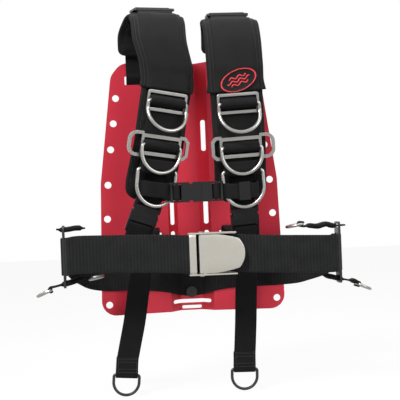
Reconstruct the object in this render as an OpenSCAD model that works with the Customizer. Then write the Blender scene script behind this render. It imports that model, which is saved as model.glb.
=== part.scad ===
// Diving backplate with an adjustable harness, one module for each separate piece.
// Millimetres. Origin: centre of the two tank bolt holes, on the tank side of the channel floor.
// X across, Z up, +Y towards the tank, -Y towards the diver.

/* [Plate] */
// Overall height of the plate
plate_h = 350; // [320:1:400]
// Width at the bottom edge
plate_w = 256; // [220:1:300]
// Width at the top edge
plate_top_w = 178; // [150:1:220]
// Sheet thickness
plate_t = 3; // [2:0.5:6]
// Depth of the middle channel
channel_d = 20; // [12:1:30]
// Width of the channel floor
channel_floor = 34; // [28:1:44]
// Width of the channel mouth
channel_mouth = 64; // [54:1:80]
// Forward slope of the two wings, in degrees
wing_slope = 10.5; // [0:0.5:16]
// Spacing of the two tank bolt holes
bolt_pitch = 279.4; // [260:0.1:300]
// Diameter of the tank bolt holes
bolt_d = 9.5; // [7:0.5:12]
// Diameter of the edge holes
edge_hole_d = 9.5; // [6:0.5:12]

/* [Webbing] */
// Width of the shoulder webbing
web_w = 48; // [40:1:52]
// Width of the waist webbing
belt_w = 50; // [40:1:54]
// Width of the lower adjuster webbing
low_w = 30; // [24:1:36]
// Width of the chest webbing
chest_w = 20; // [16:1:26]
// Thickness of the wide webbing
web_t = 2.5; // [1.5:0.1:3]
// Thickness of the shoulder pad
pad_t = 6; // [4:0.5:9]
// Width of the shoulder pad
pad_w = 70; // [60:1:84]

/* [Hardware] */
// Thickness of the stainless slides
slide_t = 3; // [2:0.5:4]
// Width of each slide bar
bar_w = 4.5; // [3.5:0.5:5]
// Spacing of the slide bars
bar_pitch = 11.5; // [10.5:0.5:14]
// Wire diameter of the D-rings
ring_wire = 5; // [4:0.5:6]
// Drop from the upper slide to the wing slide
wing_drop = 58; // [54:1:66]
// Drop from the upper slide to the end D-ring
end_drop = 90; // [88:1:104]
// Clearance between pieces that touch
clear = 0.3; // [0.2:0.05:0.4]

/* [Hidden] */

L = 0;
R = 1;
plate_top = 155;
plate_bottom = plate_top - plate_h;
knee_w = plate_w - 10;
knee_z = -12;
shoulder_w = plate_w - 48;
shoulder_z = 137;
slope = tan(wing_slope);
half_t = web_t / 2;
low_t = 2.2;
slide_out = web_t + clear;
ring_out = slide_out + slide_t + clear + ring_wire / 2;
wrap_r = ring_wire / 2 + clear + half_t;
ring_r = web_w / 2 + 0.5 + ring_wire / 2;
ring_leg = 8;
ring_corner = ring_wire / 2 + 1;
rail_in = web_w / 2 + 0.6;
rail_out = rail_in + 3.6;
end_out = web_t + clear + ring_wire / 2;
tilt = 9;
end_leg = 20;
end_tilt = 8.5;
bend = 30;
screw_top_z = 111.8;
screw_bottom_z = -169;
anchor_z = -89;
slot_z = 130.5;
slot_x = channel_mouth / 2 + web_w / 2 + 2.5;
slot_cross = 5.6;
tiny_wire = 4;

red = [0.8, 0.1, 0.18];
steel = [0.75, 0.74, 0.71];
black = [0.07, 0.07, 0.08];

// ---- points and frames ----
function rx(v, a) = [v[0], v[1] * cos(a) - v[2] * sin(a), v[1] * sin(a) + v[2] * cos(a)];
function ry(v, a) = [v[0] * cos(a) + v[2] * sin(a), v[1], -v[0] * sin(a) + v[2] * cos(a)];
function rz(v, a) = [v[0] * cos(a) - v[1] * sin(a), v[0] * sin(a) + v[1] * cos(a), v[2]];
function turn(v, a) = rz(ry(rx(v, a[0]), a[1]), a[2]);
function unit(v) = v / norm(v);
function way(p, i) = unit(p[min(i + 1, len(p) - 1)] - p[max(i - 1, 0)]);
function square_to(s, t) = unit(s - t * (s * t));
function blend4(a, b, c, d, t) = 0.5 * (2 * b + (c - a) * t + (2 * a - 5 * b + 4 * c - d) * t * t
  + (3 * b - a - 3 * c + d) * t * t * t);
function smooth(p, k) = [
  for (i = [0:len(p) - 2])
    for (j = [0:k - 1])
      blend4(p[max(i - 1, 0)], p[i], p[i + 1], p[min(i + 2, len(p) - 1)], j / k),
  p[len(p) - 1]
];
function curl(c, r, a0, a1, k) = [for (i = [0:k]) let(a = a0 + (a1 - a0) * i / k) c + r * [cos(a), sin(a)]];
function both(h) = concat(h, [for (i = [len(h) - 2:-1:0]) [-h[i][0], h[i][1]]]);
function reversed(p) = [for (i = [len(p) - 1:-1:0]) p[i]];

// shoulder run in front of the chest: origin at the upper slide, [across, out, up]
function run_at(s) = s == L ? [-34.4, -130, 90.7] : [60.4, -130, 86.5];
function run_turn(s) = s == L ? [7.6, 8, 20] : [7.6, -2.9, 4];
function run(s, q) = run_at(s) + turn([q[0], -q[1], q[2]], run_turn(s));
// lower run, from the end D-ring to the adjuster buckle
function low_at(s) = run(s, [0, -clear - low_t / 2, -end_drop - 30]);
function low_turn(s) = s == L ? [17, 20, 6] : [17, -4, 2];
function low(s, q) = low_at(s) + turn([q[0], -q[1], q[2]], low_turn(s));
module on_run(s) {
  translate(run_at(s)) rotate(run_turn(s)) children();
}
module on_low(s) {
  translate(low_at(s)) rotate(low_turn(s)) children();
}

// outer face of the plate on the diver's side, at a distance x from the middle
function wing_back(x) = -channel_d - (abs(x) - channel_mouth / 2) * slope;
function wing_front(x) = wing_back(x) - plate_t / cos(wing_slope);

// ---- flat webbing swept along points ----
module ribbon(p, side, w, t, level = false) {
  n = len(p);
  ws = is_list(w) ? w : [for (i = [0:n - 1]) w];
  ss = is_list(side[0]) ? side : [for (i = [0:n - 1]) side];
  v = [
    for (i = [0:n - 1])
      let (d = way(p, i), s = (level ? ss[i] : square_to(ss[i], d)) * ws[i] / 2, o = unit(cross(d, s)) * t / 2)
        each [p[i] - s - o, p[i] + s - o, p[i] + s + o, p[i] - s + o]
  ];
  f = [
    for (i = [0:n - 2])
      for (k = [0:3])
        let (a = 4 * i + k, b = 4 * i + (k + 1) % 4)
          each [[a, b, b + 4], [a, b + 4, a + 4]]
  ];
  e = 4 * (n - 1);
  ends = [[0, 2, 1], [0, 3, 2], [e, e + 1, e + 2], [e, e + 2, e + 3]];
  polyhedron(points = v, faces = [for (q = concat(f, ends)) [q[0], q[2], q[1]]], convexity = 8);
}
function inset(p, side, d) = [
  for (i = [0:len(p) - 1])
    p[i] + unit(cross(way(p, i), side[i])) * (is_list(d) ? d[i] : d)
];
function mixed(a, b, n) = [for (i = [0:n - 1]) unit(a * (1 - i / (n - 1)) + b * i / (n - 1))];

// [along, out] points of webbing that climbs over a slide's middle bar, first half
hump_plain = [
  [-bar_pitch - 1, half_t], [-bar_pitch + 2.7, half_t + 0.1], [-bar_pitch + 4.2, half_t + 1.1],
  [-bar_pitch / 2, slide_out + slide_t / 2], [-bar_w / 2 - 2.15, slide_out + slide_t + 0.2],
  [-bar_w / 2 - 0.15, slide_out + slide_t + clear + half_t + 0.05],
  [0, slide_out + slide_t + clear + half_t + 0.1]
];
// the same where a D-ring's bar lies on the slide
hump_ring = [
  [-bar_pitch - 1, half_t], [-bar_pitch + 2.7, half_t + 0.1], [-bar_pitch + 4.2, half_t + 1.1],
  [-bar_pitch / 2, slide_out + slide_t / 2], [-wrap_r - 0.1, ring_out - 1.2],
  [-wrap_r - 0.1, ring_out + 1.1], [-0.76 * wrap_r, ring_out + 0.76 * wrap_r],
  [0, ring_out + wrap_r + 0.15]
];

// ---- shapes shared by the hardware ----
function box_points(w, h, r, k) = [
  for (c = [[1, 1, 0], [-1, 1, 90], [-1, -1, 180], [1, -1, 270]])
    for (i = [0:k])
      [c[0] * (w / 2 - r) + r * cos(c[2] + 90 * i / k), c[1] * (h / 2 - r) + r * sin(c[2] + 90 * i / k)]
];
module round_box(w, h, r) {
  polygon(box_points(w, h, r, 5));
}
// a plate standing in X and Z, from out = a to out = b on the diver's side
module facing(a, b) {
  translate([0, -a, 0]) rotate([90, 0, 0]) linear_extrude(height = b - a) children();
}
module bar_x(len, d) {
  rotate([0, 90, 0]) cylinder(h = len, d = d, center = true, $fn = 48);
}
// quarter bend of round wire, from pointing along +X to pointing along -Z
module wire_bend(r, wire) {
  rotate([90, 0, 0]) rotate_extrude(angle = 90, $fn = 48) translate([r, 0]) circle(d = wire, $fn = 32);
}
module wire_half(r, wire) {
  rotate([90, 0, 0]) rotate_extrude(angle = 180, $fn = 96) translate([r, 0]) circle(d = wire, $fn = 32);
}
// D-ring hanging down from a straight bar along X, with its arc turned outwards by a bend
module d_ring(r, leg, wire, corner, turn_out) {
  elbow = 2 * wire;
  bar_x(2 * (r - corner), wire);
  for (m = [-1, 1])
    scale([m, 1, 1]) translate([r - corner, 0, -corner]) wire_bend(corner, wire);
  for (m = [-1, 1])
    translate([m * r, 0, -leg]) cylinder(h = leg - corner, d = wire, $fn = 48);
  if (turn_out > 0) {
    for (m = [-1, 1])
      translate([m * r, -elbow, -leg]) rotate([-90, 0, 0]) rotate([0, -90, 0])
        rotate_extrude(angle = turn_out, $fn = 96) translate([elbow, 0]) circle(d = wire, $fn = 32);
    translate([0, -elbow * (1 - cos(turn_out)), -leg - elbow * sin(turn_out)])
      rotate([-turn_out, 0, 0]) {
        mirror([0, 0, 1]) wire_half(r, wire);
        for (m = [-1, 1])
          translate([m * r, 0, 0]) cylinder(h = 1.2, d = wire + 0.2, center = true, $fn = 48);
      }
  } else {
    translate([0, 0, -leg]) mirror([0, 0, 1]) wire_half(r, wire);
  }
}
module slide_slots() {
  for (m = [-1, 1])
    translate([0, m * bar_pitch / 2]) round_box(2 * rail_in, bar_pitch - bar_w, 1.2);
}
slide_h = 2 * bar_pitch + bar_w;

// ---- plate ----
module sheet_profile() {
  a = channel_floor / 2;
  b = channel_mouth / 2;
  far = plate_w;
  intersection() {
    difference() {
      polygon([[-far, wing_back(far)], [-b, -channel_d], [-a, 0], [a, 0], [b, -channel_d],
        [far, wing_back(far)], [far, -far], [-far, -far]]);
      offset(delta = -plate_t)
        polygon([[-far, wing_back(far)], [-b, -channel_d], [-a, 0], [a, 0], [b, -channel_d],
          [far, wing_back(far)], [far, -2 * far], [-far, -2 * far]]);
    }
    translate([-plate_w, -90]) square([2 * plate_w, 95]);
  }
}
// polygon corners rounded by the third value of each point
function rounded(p, k) = [
  for (i = [0:len(p) - 1])
    let (
      n = len(p), b = [p[i][0], p[i][1]], q = p[(i + n - 1) % n], s = p[(i + 1) % n],
      u = unit([q[0], q[1]] - b), v = unit([s[0], s[1]] - b), g = acos(u * v) / 2,
      c = b + unit(u + v) * p[i][2] / sin(g), e = p[i][2] / tan(g),
      a0 = b + u * e - c, a1 = b + v * e - c
    )
      for (j = [0:k]) let (w = unit(a0 * (1 - j / k) + a1 * (j / k))) c + w * p[i][2]
];
module plate_outline() {
  b = plate_w / 2;
  polygon(rounded([[-b, plate_bottom, 20], [b, plate_bottom, 20], [knee_w / 2, knee_z, 60],
    [shoulder_w / 2, shoulder_z, 22], [plate_top_w / 2, plate_top, 22],
    [-plate_top_w / 2, plate_top, 22], [-shoulder_w / 2, shoulder_z, 22], [-knee_w / 2, knee_z, 60]], 6));
}
module slot_cut(x, z, w, h, lean, end = 0.48) {
  translate([x, 20, z]) rotate([90, 0, 0]) rotate(lean) linear_extrude(height = 90) round_box(w, h, min(w, h) * end);
}
module hole_cut(x, z, d) {
  translate([x, 20, z]) rotate([90, 0, 0]) cylinder(h = 90, d = d, $fn = 64);
}
module backplate() {
  color(red) difference() {
    intersection() {
      translate([0, 0, plate_bottom - 5]) linear_extrude(height = plate_h + 10) sheet_profile();
      translate([0, 60, 0]) rotate([90, 0, 0]) linear_extrude(height = 160) plate_outline();
    }
    for (m = [-1, 1])
      hole_cut(0, m * bolt_pitch / 2, bolt_d);
    hole_cut(0, screw_top_z, 9.6);
    hole_cut(0, screw_bottom_z, 9.6);
    hole_cut(0, 82.6, bolt_d);
    for (m = [-1, 1]) {
      hole_cut(m * 98, 106, edge_hole_d);
      hole_cut(m * 102.5, 71, edge_hole_d);
      hole_cut(m * 107.5, 35, edge_hole_d);
      hole_cut(m * 113, -14, edge_hole_d);
      hole_cut(m * 115.5, -61, edge_hole_d);
      hole_cut(m * 117, -180, edge_hole_d);
      for (z = [52, -46, -104])
        slot_cut(m * 24, z, 6, z > 0 ? 44 : z > -60 ? 54 : 44, 0);
      slot_cut(m * slot_x, slot_z, web_w + 4, 12, 0, 0.12);
      slot_cut(m * 58, anchor_z, low_w + 5, 12, 0, 0.12);
    }
    slot_cut(0, -182, 53.5, 5.3, 0);
    slot_cut(0, -190.5, 28, 4.6, 0);
  }
}
module screw_head(z, y) {
  color(black) translate([0, y, z]) rotate([90, 0, 0]) difference() {
    cylinder(h = 3, d = 15, $fn = 64);
    translate([0, 0, 1.6]) cylinder(h = 3, d = 6, $fn = 48);
  }
}
module screw_post(z, y) {
  color(steel) translate([0, clear, z]) rotate([90, 0, 0]) union() {
    translate([0, 0, -2]) cylinder(h = 2, d = 15, $fn = 64);
    translate([0, 0, -1]) cylinder(h = 1 + clear - y - clear, d = 9, $fn = 64);
  }
}
module top_screw_head() { screw_head(screw_top_z, -plate_t - clear); }
module top_screw_post() { screw_post(screw_top_z, -plate_t); }
module bottom_screw_head() { screw_head(screw_bottom_z, -plate_t - web_t - 2 * clear); }
module bottom_screw_post() { screw_post(screw_bottom_z, -plate_t - web_t - clear); }

// ---- shoulder webbing and pads ----
function run_points(s, list, z) = [for (q = list) run(s, [0, q[1], z + q[0]])];
function over_front(s) = s == L
  ? [run(s, [-3.5, half_t, 40]), run(s, [-6.5, half_t, 52]), [-37.5, -136.5, 172], [-39, -122, 200], [-42.5, -103, 213.2]]
  : [run(s, [0, half_t, 40]), run(s, [0, half_t, 52]), [57.3, -135, 168], [56.6, -121, 192.5], [55.8, -102, 204.2]];
function apex(s) = s == L ? [-45.5, -84, 215] : [55.5, -83, 206];
function apex_turn(s) = s == L ? [0, 0, 14] : [0, 0, 1];
function over_top(s, q) = apex(s) + turn([0, q[0], q[1] - half_t], apex_turn(s));
function over_back(s) = let (m = s == L ? -1 : 1) [
  s == L ? [-50.5, -63, 212.5] : [56.3, -63, 204],
  [m * 58.5, -46.5, 194], [m * 59, -38, 172], [m * 58.8, -33, 154],
  [m * slot_x, wing_front(slot_x) - clear - half_t, slot_z + 10]
];
function behind(s) = let (x = (s == L ? -1 : 1) * slot_x, f = wing_front(x) - clear - half_t, b = wing_back(x) + clear + half_t) [
  [x, f, slot_z + slot_cross], [x, (f + b) / 2, slot_z], [x, b, slot_z - slot_cross], [x, b, slot_z - 34]
];
fold = concat(
  [[13.5, end_out + 2.2], [7, end_out + wrap_r - 0.9]],
  [for (q = curl([0, end_out], wrap_r, 90, 270, 8)) q]
);
function fold_run(s) = [for (q = fold) run(s, [0, q[1], q[0] - end_drop])];
function web_front(s) = concat(
  fold_run(s),
  run_points(s, both(hump_ring), -wing_drop),
  run_points(s, both(hump_ring), 0)
);
function web_over(s) = smooth(over_front(s), 5);
function web_top(s) = [for (q = both(hump_plain)) over_top(s, q)];
function web_back(s) = smooth(over_back(s), 5);
function side_front(s) = turn([1, 0, 0], run_turn(s));
function side_back(s) = [cos(wing_slope), (s == L ? 1 : -1) * sin(wing_slope), 0];
function same(v, n) = [for (i = [0:n - 1]) v];
module shoulder_webbing(s) {
  a = web_front(s);
  b = web_over(s);
  c = web_top(s);
  d = web_back(s);
  e = behind(s);
  mid = turn([1, 0, 0], apex_turn(s));
  color(black) ribbon(concat(a, b, c, d, e),
    concat(same(side_front(s), len(a)), mixed(side_front(s), mid, len(b)), same(mid, len(c)),
      mixed(mid, side_back(s), len(d)), same(side_back(s), len(e))), web_w, web_t, true);
}
function arch(s) = concat(web_over(s), [over_top(s, [-bar_pitch - 1, half_t]), over_top(s, [bar_pitch + 1, half_t])],
  web_back(s));
function arch_sides(s) = let (mid = turn([1, 0, 0], apex_turn(s)))
  concat(mixed(side_front(s), mid, len(web_over(s))), [mid, mid], mixed(mid, side_back(s), len(web_back(s))));
pad_stations = [[-133, 12.5], [-129, 11.5], [-122, 9.9], [-112, 8.8], [-103, 8.4], [-92, 6.6], [-82, 4.4], [-73, 3.4],
  [-64, clear], [-30, clear], [0, clear], [20, clear]];
module shoulder_pad(s) {
  low_n = len(pad_stations);
  up = arch(s);
  up_n = len(up) - 8;
  p = concat([for (q = pad_stations) run(s, [0, half_t, q[0]])], [for (i = [0:up_n - 1]) up[i]]);
  sides = concat(same(side_front(s), low_n), [for (i = [0:up_n - 1]) arch_sides(s)[i]]);
  gap = concat([for (q = pad_stations) q[1]], same(clear + 0.3, up_n));
  w = [for (i = [0:len(p) - 1]) pad_w * (i == 0 ? 0.55 : i == 1 ? 0.8 : i == 2 ? 0.95 : i == len(p) - 1 ? 0.85 : 1)];
  color(black) ribbon(inset(p, sides, [for (g = gap) half_t + g + pad_t / 2]), sides, w, pad_t, true);
}
module pad_sleeve(s) {
  up = arch(s);
  n = len(web_over(s)) - 3;
  p = concat([run(s, [0, half_t, slide_h / 2 + 1.5]), run(s, [0, half_t, 28])], [for (i = [0:n - 1]) up[i]]);
  sides = concat(same(side_front(s), 2), [for (i = [0:n - 1]) arch_sides(s)[i]]);
  w = [for (i = [0:len(p) - 1]) i == 0 ? 66 : 62];
  color(black) ribbon(inset(p, sides, -half_t - clear - 1), sides, w, 1.6, true);
}
module badge_patch() {
  out = web_t + clear + 2.1 + 2 * clear;
  color([0.75, 0.2, 0.2]) on_run(R) translate([2, 0, 30]) rotate([0, -18, 0]) facing(out, out + 1.4)
    scale([25, 14]) circle(r = 1, $fn = 12);
}

// ---- shoulder hardware ----
module top_slide(s) {
  color(black) translate(apex(s) + [0, 0, -half_t]) rotate(apex_turn(s)) translate([0, 0, slide_out])
    linear_extrude(height = slide_t) difference() {
      round_box(2 * rail_out, slide_h, 3);
      slide_slots();
    }
}
module upper_slide(s) {
  color(steel) on_run(s) facing(slide_out, slide_out + slide_t) difference() {
    round_box(2 * rail_out, slide_h, 4);
    slide_slots();
  }
}
module upper_dring(s) {
  color(steel) on_run(s) translate([0, -ring_out, 0]) d_ring(ring_r, ring_leg, ring_wire, ring_corner, bend);
}
ear_wall = 4.2;
module round_ear(wall) {
  h = slide_h / 2 + 3 - wall;
  far = rail_out + 18 - wall;
  near = wall > 0 ? rail_out : rail_in + 1;
  polygon(rounded([[near, -h, 1], [far, -h, 12 - wall], [far, h, 12 - wall], [near, h, 1]], 6));
}
module chamfered_ear(wall) {
  h = slide_h / 2 + 2 - wall;
  far = rail_out + 11.5 - wall;
  near = wall > 0 ? rail_out : rail_in + 1;
  c = 6 - 0.6 * wall;
  polygon([[-near, -h], [-near, h], [c - far, h], [-far, h - c], [-far, c - h], [c - far, -h]]);
}
module wing_slide(s) {
  color(steel) on_run(s) translate([0, 0, -wing_drop]) facing(slide_out, slide_out + slide_t)
    mirror([s == L ? 1 : 0, 0]) difference() {
      union() {
        square([2 * rail_out, slide_h], center = true);
        round_ear(0);
        chamfered_ear(0);
      }
      slide_slots();
      round_ear(ear_wall);
      chamfered_ear(ear_wall);
    }
}
module wing_dring(s) {
  color(steel) on_run(s) translate([0, -ring_out, -wing_drop]) rotate([-tilt, 0, 0])
    d_ring(ring_r, ring_leg, ring_wire, ring_corner, 0);
}
module end_dring(s) {
  color(steel) on_run(s) translate([0, -end_out, -end_drop]) rotate([-end_tilt, 0, 0])
    d_ring(ring_r, end_leg, ring_wire, ring_corner, 0);
}

// ---- lower run: link, side-release buckle, adjuster ----
low_half = low_w / 2;
loop_z = -14;
ladder_z = loop_z - 31;
bar_d = 4;
low_wrap = bar_d / 2 + clear + low_t / 2;
// from a bar's middle to what stands beside the webbing wrapped on it
wrap_room = low_wrap + low_t / 2 + clear + 0.2;
module link_webbing(s) {
  head = [for (z = [14, -6, -26]) run(s, [0, -clear - low_t / 2, z - end_drop])];
  body = [for (z = [-1, -6, loop_z]) low(s, [0, 0, z])];
  turn_back = [for (q = curl([loop_z, low_wrap], low_wrap, 270, 90, 8)) low(s, [0, q[1], q[0]])];
  tail = [low(s, [0, 2 * low_wrap - 0.4, loop_z + 5]), low(s, [0, low_t + clear + 0.3, loop_z + 11])];
  p = concat(head, body, [for (i = [1:len(turn_back) - 1]) turn_back[i]], tail);
  sides = concat(same(side_front(s), 3), mixed(side_front(s), turn([1, 0, 0], low_turn(s)), 3),
    same(turn([1, 0, 0], low_turn(s)), len(p) - 6));
  color(black) ribbon(p, sides, low_w, low_t);
}
module buckle_female(half, deep, top, mouth, bars, rail) {
  far = bars[len(bars) - 1];
  difference() {
    union() {
      translate([-half - rail, -deep / 2, mouth]) cube([2 * half + 2 * rail, deep, top - mouth]);
      for (m = [-1, 1])
        translate([m * (half + rail / 2 + 0.1) - rail / 2 + 0.1, -deep / 4, top - 0.5])
          cube([rail - 0.2, deep / 2, far - top + 2.5]);
    }
    translate([-half + 1, -deep / 2 + 1.8, mouth - 1]) cube([2 * half - 2, deep - 3.6, top - mouth - 2]);
    for (m = [-1, 1])
      translate([m * (half + rail), 0, (top + mouth) / 2]) cube([4, deep + 1, 5], center = true);
  }
  for (z = bars)
    translate([0, 0, z]) bar_x(2 * half + rail, bar_d);
}
module buckle_male(half, deep, mouth, cap, bars, rail) {
  tip = 9;
  low_end = bars[len(bars) - 1];
  translate([-half - rail, -deep / 2, mouth - clear - cap]) cube([2 * half + 2 * rail, deep, cap]);
  for (x = [-half + 2.5, half - 5.5])
    translate([x, -deep / 2 + 2.3, mouth - clear - 0.5]) cube([3, deep - 4.6, tip]);
  translate([-2, -deep / 2 + 2.3, mouth - clear - 0.5]) cube([4, deep - 4.6, tip - 2]);
  for (m = [-1, 1])
    translate([m * (half + rail / 2 + 0.1) - rail / 2 + 0.1, -deep / 4, low_end - 2])
      cube([rail - 0.2, deep / 2, mouth - clear - cap + 0.5 - low_end + 2]);
  for (z = bars)
    translate([0, 0, z]) bar_x(2 * half + rail, bar_d);
}
module lower_buckle_female(s) {
  color(black) on_low(s) translate([0, -low_wrap, 0])
    buckle_female(low_half + 0.5, 11, loop_z - wrap_room, loop_z - 21, [loop_z], 3);
}
module lower_buckle_male(s) {
  color(black) on_low(s) translate([0, -low_wrap, 0])
    buckle_male(low_half + 0.5, 11, loop_z - 21, loop_z - 21 - clear - ladder_z + 1.5 - wrap_room,
      [ladder_z - 1.5, ladder_z - 12], 3);
}
function tail_points(s) = s == L
  ? [[-74, -79, -135], [-78.3, -71, -165], [-84, -67, -200], [-91, -65, -232], [-95, -64, -250]]
  : [[70, -79, -140], [69.4, -71, -172], [68.3, -67, -206], [66.4, -65, -238], [65.6, -64, -250]];
function ring_at(s) = s == L ? [-97.5, -62, -274] : [64.6, -62, -274];
function tail_turn(s) = s == L ? [0, 5, 4] : [0, 1.5, 1];
pull_r = low_half + 0.4 + tiny_wire / 2;
module adjuster_webbing(s) {
  m = s == L ? -1 : 1;
  out = 2 * low_wrap;
  b = wing_back(58) + clear + low_t / 2;
  f = wing_front(58) - clear - low_t / 2;
  plate_part = [[m * 58, b, anchor_z - 34], [m * 58, b, anchor_z - slot_cross], [m * 58, (b + f) / 2, anchor_z],
    [m * 58, f - 0.3, anchor_z + slot_cross], [m * 58, f - 1, anchor_z + 9]];
  free_part = smooth([[m * 58.5, f - 8, anchor_z + 12.5], [m * 61, -52, anchor_z + 8], [m * 64, -74, anchor_z - 8],
    low(s, [0, -1.2, ladder_z - 34]), low(s, [0, -0.9, ladder_z - 22]), low(s, [0, -0.5, ladder_z - 12]),
    low(s, [0, -0.2, ladder_z - 6]), low(s, [0, -0.05, ladder_z - 1.5])], 3);
  over = [for (i = [1:7]) let (a = 180 * i / 8)
    low(s, [0, low_wrap - low_wrap * cos(a), ladder_z - 1.5 + low_wrap * sin(a)])];
  front = [for (z = [1.5, 6, 12, 18]) low(s, [0, out, ladder_z - z])];
  hang = smooth(concat([low(s, [0, out, ladder_z - 24])], tail_points(s)), 3);
  k = ring_at(s);
  wr = tiny_wire / 2 + clear + low_t / 2;
  ring = [for (i = [0:8]) let (a = 180 * i / 8) k + turn([0, -wr * cos(a), -wr * sin(a)], tail_turn(s))];
  back_up = [k + turn([0, low_t + 1.4, 12], tail_turn(s)) + [0, -1.6, 0], k + turn([0, low_t + 0.6, 24], tail_turn(s)) + [0, -1.6, 0]];
  p = concat(plate_part, free_part, over, front, hang, ring, back_up);
  low_side = turn([1, 0, 0], low_turn(s));
  n1 = len(free_part);
  n2 = len(over) + len(front);
  n3 = len(hang);
  n4 = len(ring) + len(back_up);
  color(black) ribbon(p, concat(same(side_back(s), len(plate_part)), mixed(side_back(s), low_side, 10), same(low_side, n1 - 10), same(low_side, n2),
    mixed(low_side, turn([1, 0, 0], tail_turn(s)), n3), same(turn([1, 0, 0], tail_turn(s)), n4)), low_w, low_t, true);
}
module pull_ring(s) {
  color(black) translate(ring_at(s)) rotate(tail_turn(s)) d_ring(pull_r, 10, tiny_wire, tiny_wire / 2 + 1, 0);
}

// ---- chest strap ----
chest_t = 1.8;
chest_drop = -115;
chest_c = [1.7, -132, -28.5];
chest_out = end_out + 35 * sin(end_tilt) + ring_wire / 2 + clear + chest_t / 2 + 0.6;
function around_link(s) = let (m = s == L ? 1 : -1, e = low_w / 2 + clear + chest_t / 2 + 1.9, b = -clear - low_t - clear - chest_t / 2 - 2.8) [
  for (q = [[m * (e - 6), chest_out - chest_t - clear - 0.1], [m * (e - 1.5), chest_out - chest_t - 1.2], [m * e, chest_out - 5],
    [m * e, 1], [m * (e - 1.2), b + 1.2], [m * (e - 4), b], [0, b], [-m * (e - 4), b], [-m * (e - 1.2), b + 1.2],
    [-m * e, 1], [-m * e, chest_out - 3], [-m * (e - 1.5), chest_out - 0.8], [-m * (e - 5), chest_out], [0, chest_out],
    [m * (e - 7), chest_out]])
    run(s, [q[0], q[1], chest_drop])
];
chest_bar = 25.5;
chest_rim = 33;
chest_room = bar_d / 2 + 2 * clear + chest_t + 0.9;
module chest_webbing(s) {
  m = s == L ? 1 : -1;
  x = chest_c[0] - m * chest_bar;
  r = bar_d / 2 + clear + chest_t / 2 + 0.15;
  link = around_link(s);
  under_rim = [[8.2, 3.9], [5.6, 2.9], [4.3, 0.3], [3.7, -1]];
  wrap = [for (a = [30:30:270]) [r * cos(a), -r * sin(a)]];
  tail = [[3.2, 4.7], [6.5, 6.1]];
  bar_part = [for (q = concat(under_rim, wrap, tail)) [x - m * q[0], chest_c[1] + q[1], chest_c[2]]];
  own = turn([0, 0, 1], run_turn(s));
  color(black) ribbon(concat(link, bar_part), concat(same(own, len(link)), same([0, 0, 1], len(bar_part))),
    chest_w, chest_t);
}
module chest_keeper() {
  deep = chest_t + 2 * clear;
  color(black) on_run(R) translate([-0.8, -chest_out, chest_drop]) difference() {
    cube([15, deep + 2.4, chest_w + 4], center = true);
    cube([16, deep, chest_w + 2 * clear], center = true);
  }
}
module chest_buckle_female() {
  color(black) translate(chest_c) rotate([0, -90, 0])
    buckle_female(chest_w / 2 + 0.5, 9, chest_bar - chest_room, -6, [chest_bar, chest_rim], 2.6);
}
module chest_buckle_male() {
  color(black) translate(chest_c) rotate([0, -90, 0])
    buckle_male(chest_w / 2 + 0.5, 9, -6, chest_bar - chest_room - 6 - clear, [-chest_bar, -chest_rim], 2.6);
}

// ---- waist belt and cam buckle ----
buckle_z = -110;
left_bar_x = -8;
left_bar_y = -134;
pin_x = 4.8;
pin_y = -135;
left_wrap = 3 + clear + half_t;
function hip_x(s) = s == L ? -172 : 192;
function hip_z(s) = s == L ? -108 : -117;
hip_y = -93;
function hip_run(s) = let (m = s == L ? 1 : -1) [for (q = both(hump_plain)) [hip_x(s) - m * (q[1] - half_t), hip_y - q[0] * 1, hip_z(s)]];
module waist_webbing() {
  f = wing_front(0);
  function on_wing(x, z) = [x, wing_front(x) - clear - half_t, z];
  wall_x = channel_mouth / 2 - 2.6;
  floor_x = channel_floor / 2 - 2.4;
  left_end = [[-44, -126.6 - 1.9, buckle_z + 2], [-27, -129.9, buckle_z + 1]];
  loop = [for (i = [0:8]) let (a = 180 * i / 8)
    [left_bar_x + left_wrap * sin(a), left_bar_y + left_wrap * cos(a), buckle_z]];
  left_front = smooth([[-15, -137.3, buckle_z], [-27, -133.6, buckle_z + 1], [-44, -132, buckle_z + 2],
    [-80, -130, buckle_z + 3.5], [-140, -128, buckle_z + 5], [-158, -126.5, buckle_z + 5],
    [-168.3, -121, buckle_z + 3.5], [-171.7, -114, buckle_z + 2.3], [-172, -108.5, buckle_z + 2]], 3);
  left_hip = reversed(hip_run(L));
  left_side = smooth([[-172, -77.5, -108], [-170.8, -68, -111], [-164, -56.5, -119], [-150, -49.5, -128]], 3);
  rear_left = [on_wing(-124, -135), on_wing(-90, -136), on_wing(-60, -138.5), on_wing(-wall_x - 4, -142.5)];
  rear_mid = [[-wall_x, wing_front(wall_x) - clear - half_t + 0.3, -143.5], [-floor_x, -plate_t - clear - half_t, -148.5],
    [0, -plate_t - clear - half_t, -150], [floor_x, -plate_t - clear - half_t, -148.5],
    [wall_x, wing_front(wall_x) - clear - half_t + 0.3, -143.5]];
  rear_right = [on_wing(wall_x + 4, -142.5), on_wing(60, -139), on_wing(90, -138), on_wing(124, -137)];
  right_side = smooth([[152, -48, -134], [176, -55, -127], [187.5, -64, -121.5], [191.6, -72.5, -117.4], [192, -77.5, -117]], 3);
  right_hip = hip_run(R);
  right_front = smooth([[192, -108.5, -117], [191.5, -115, -117], [186, -122.5, -117], [175, -126.5, -117],
    [150, -128, -116], [90, -128.5, -113.5], [62, -127.2, buckle_z - 1.5], [50, -126.2, buckle_z - 0.5]], 3);
  right_end = [[20, -126.2, buckle_z], [-10, -126.2, buckle_z], [-40, -125.2, buckle_z + 2], [-75, -125.8, buckle_z + 3.5]];
  color(black) difference() {
    ribbon(concat(left_end, loop, left_front, left_hip, left_side, rear_left, rear_mid, rear_right, right_side,
      right_hip, right_front, right_end), [0, 0, 1], belt_w, web_t, true);
    hole_cut(0, screw_bottom_z, 9.6);
  }
}
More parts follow.
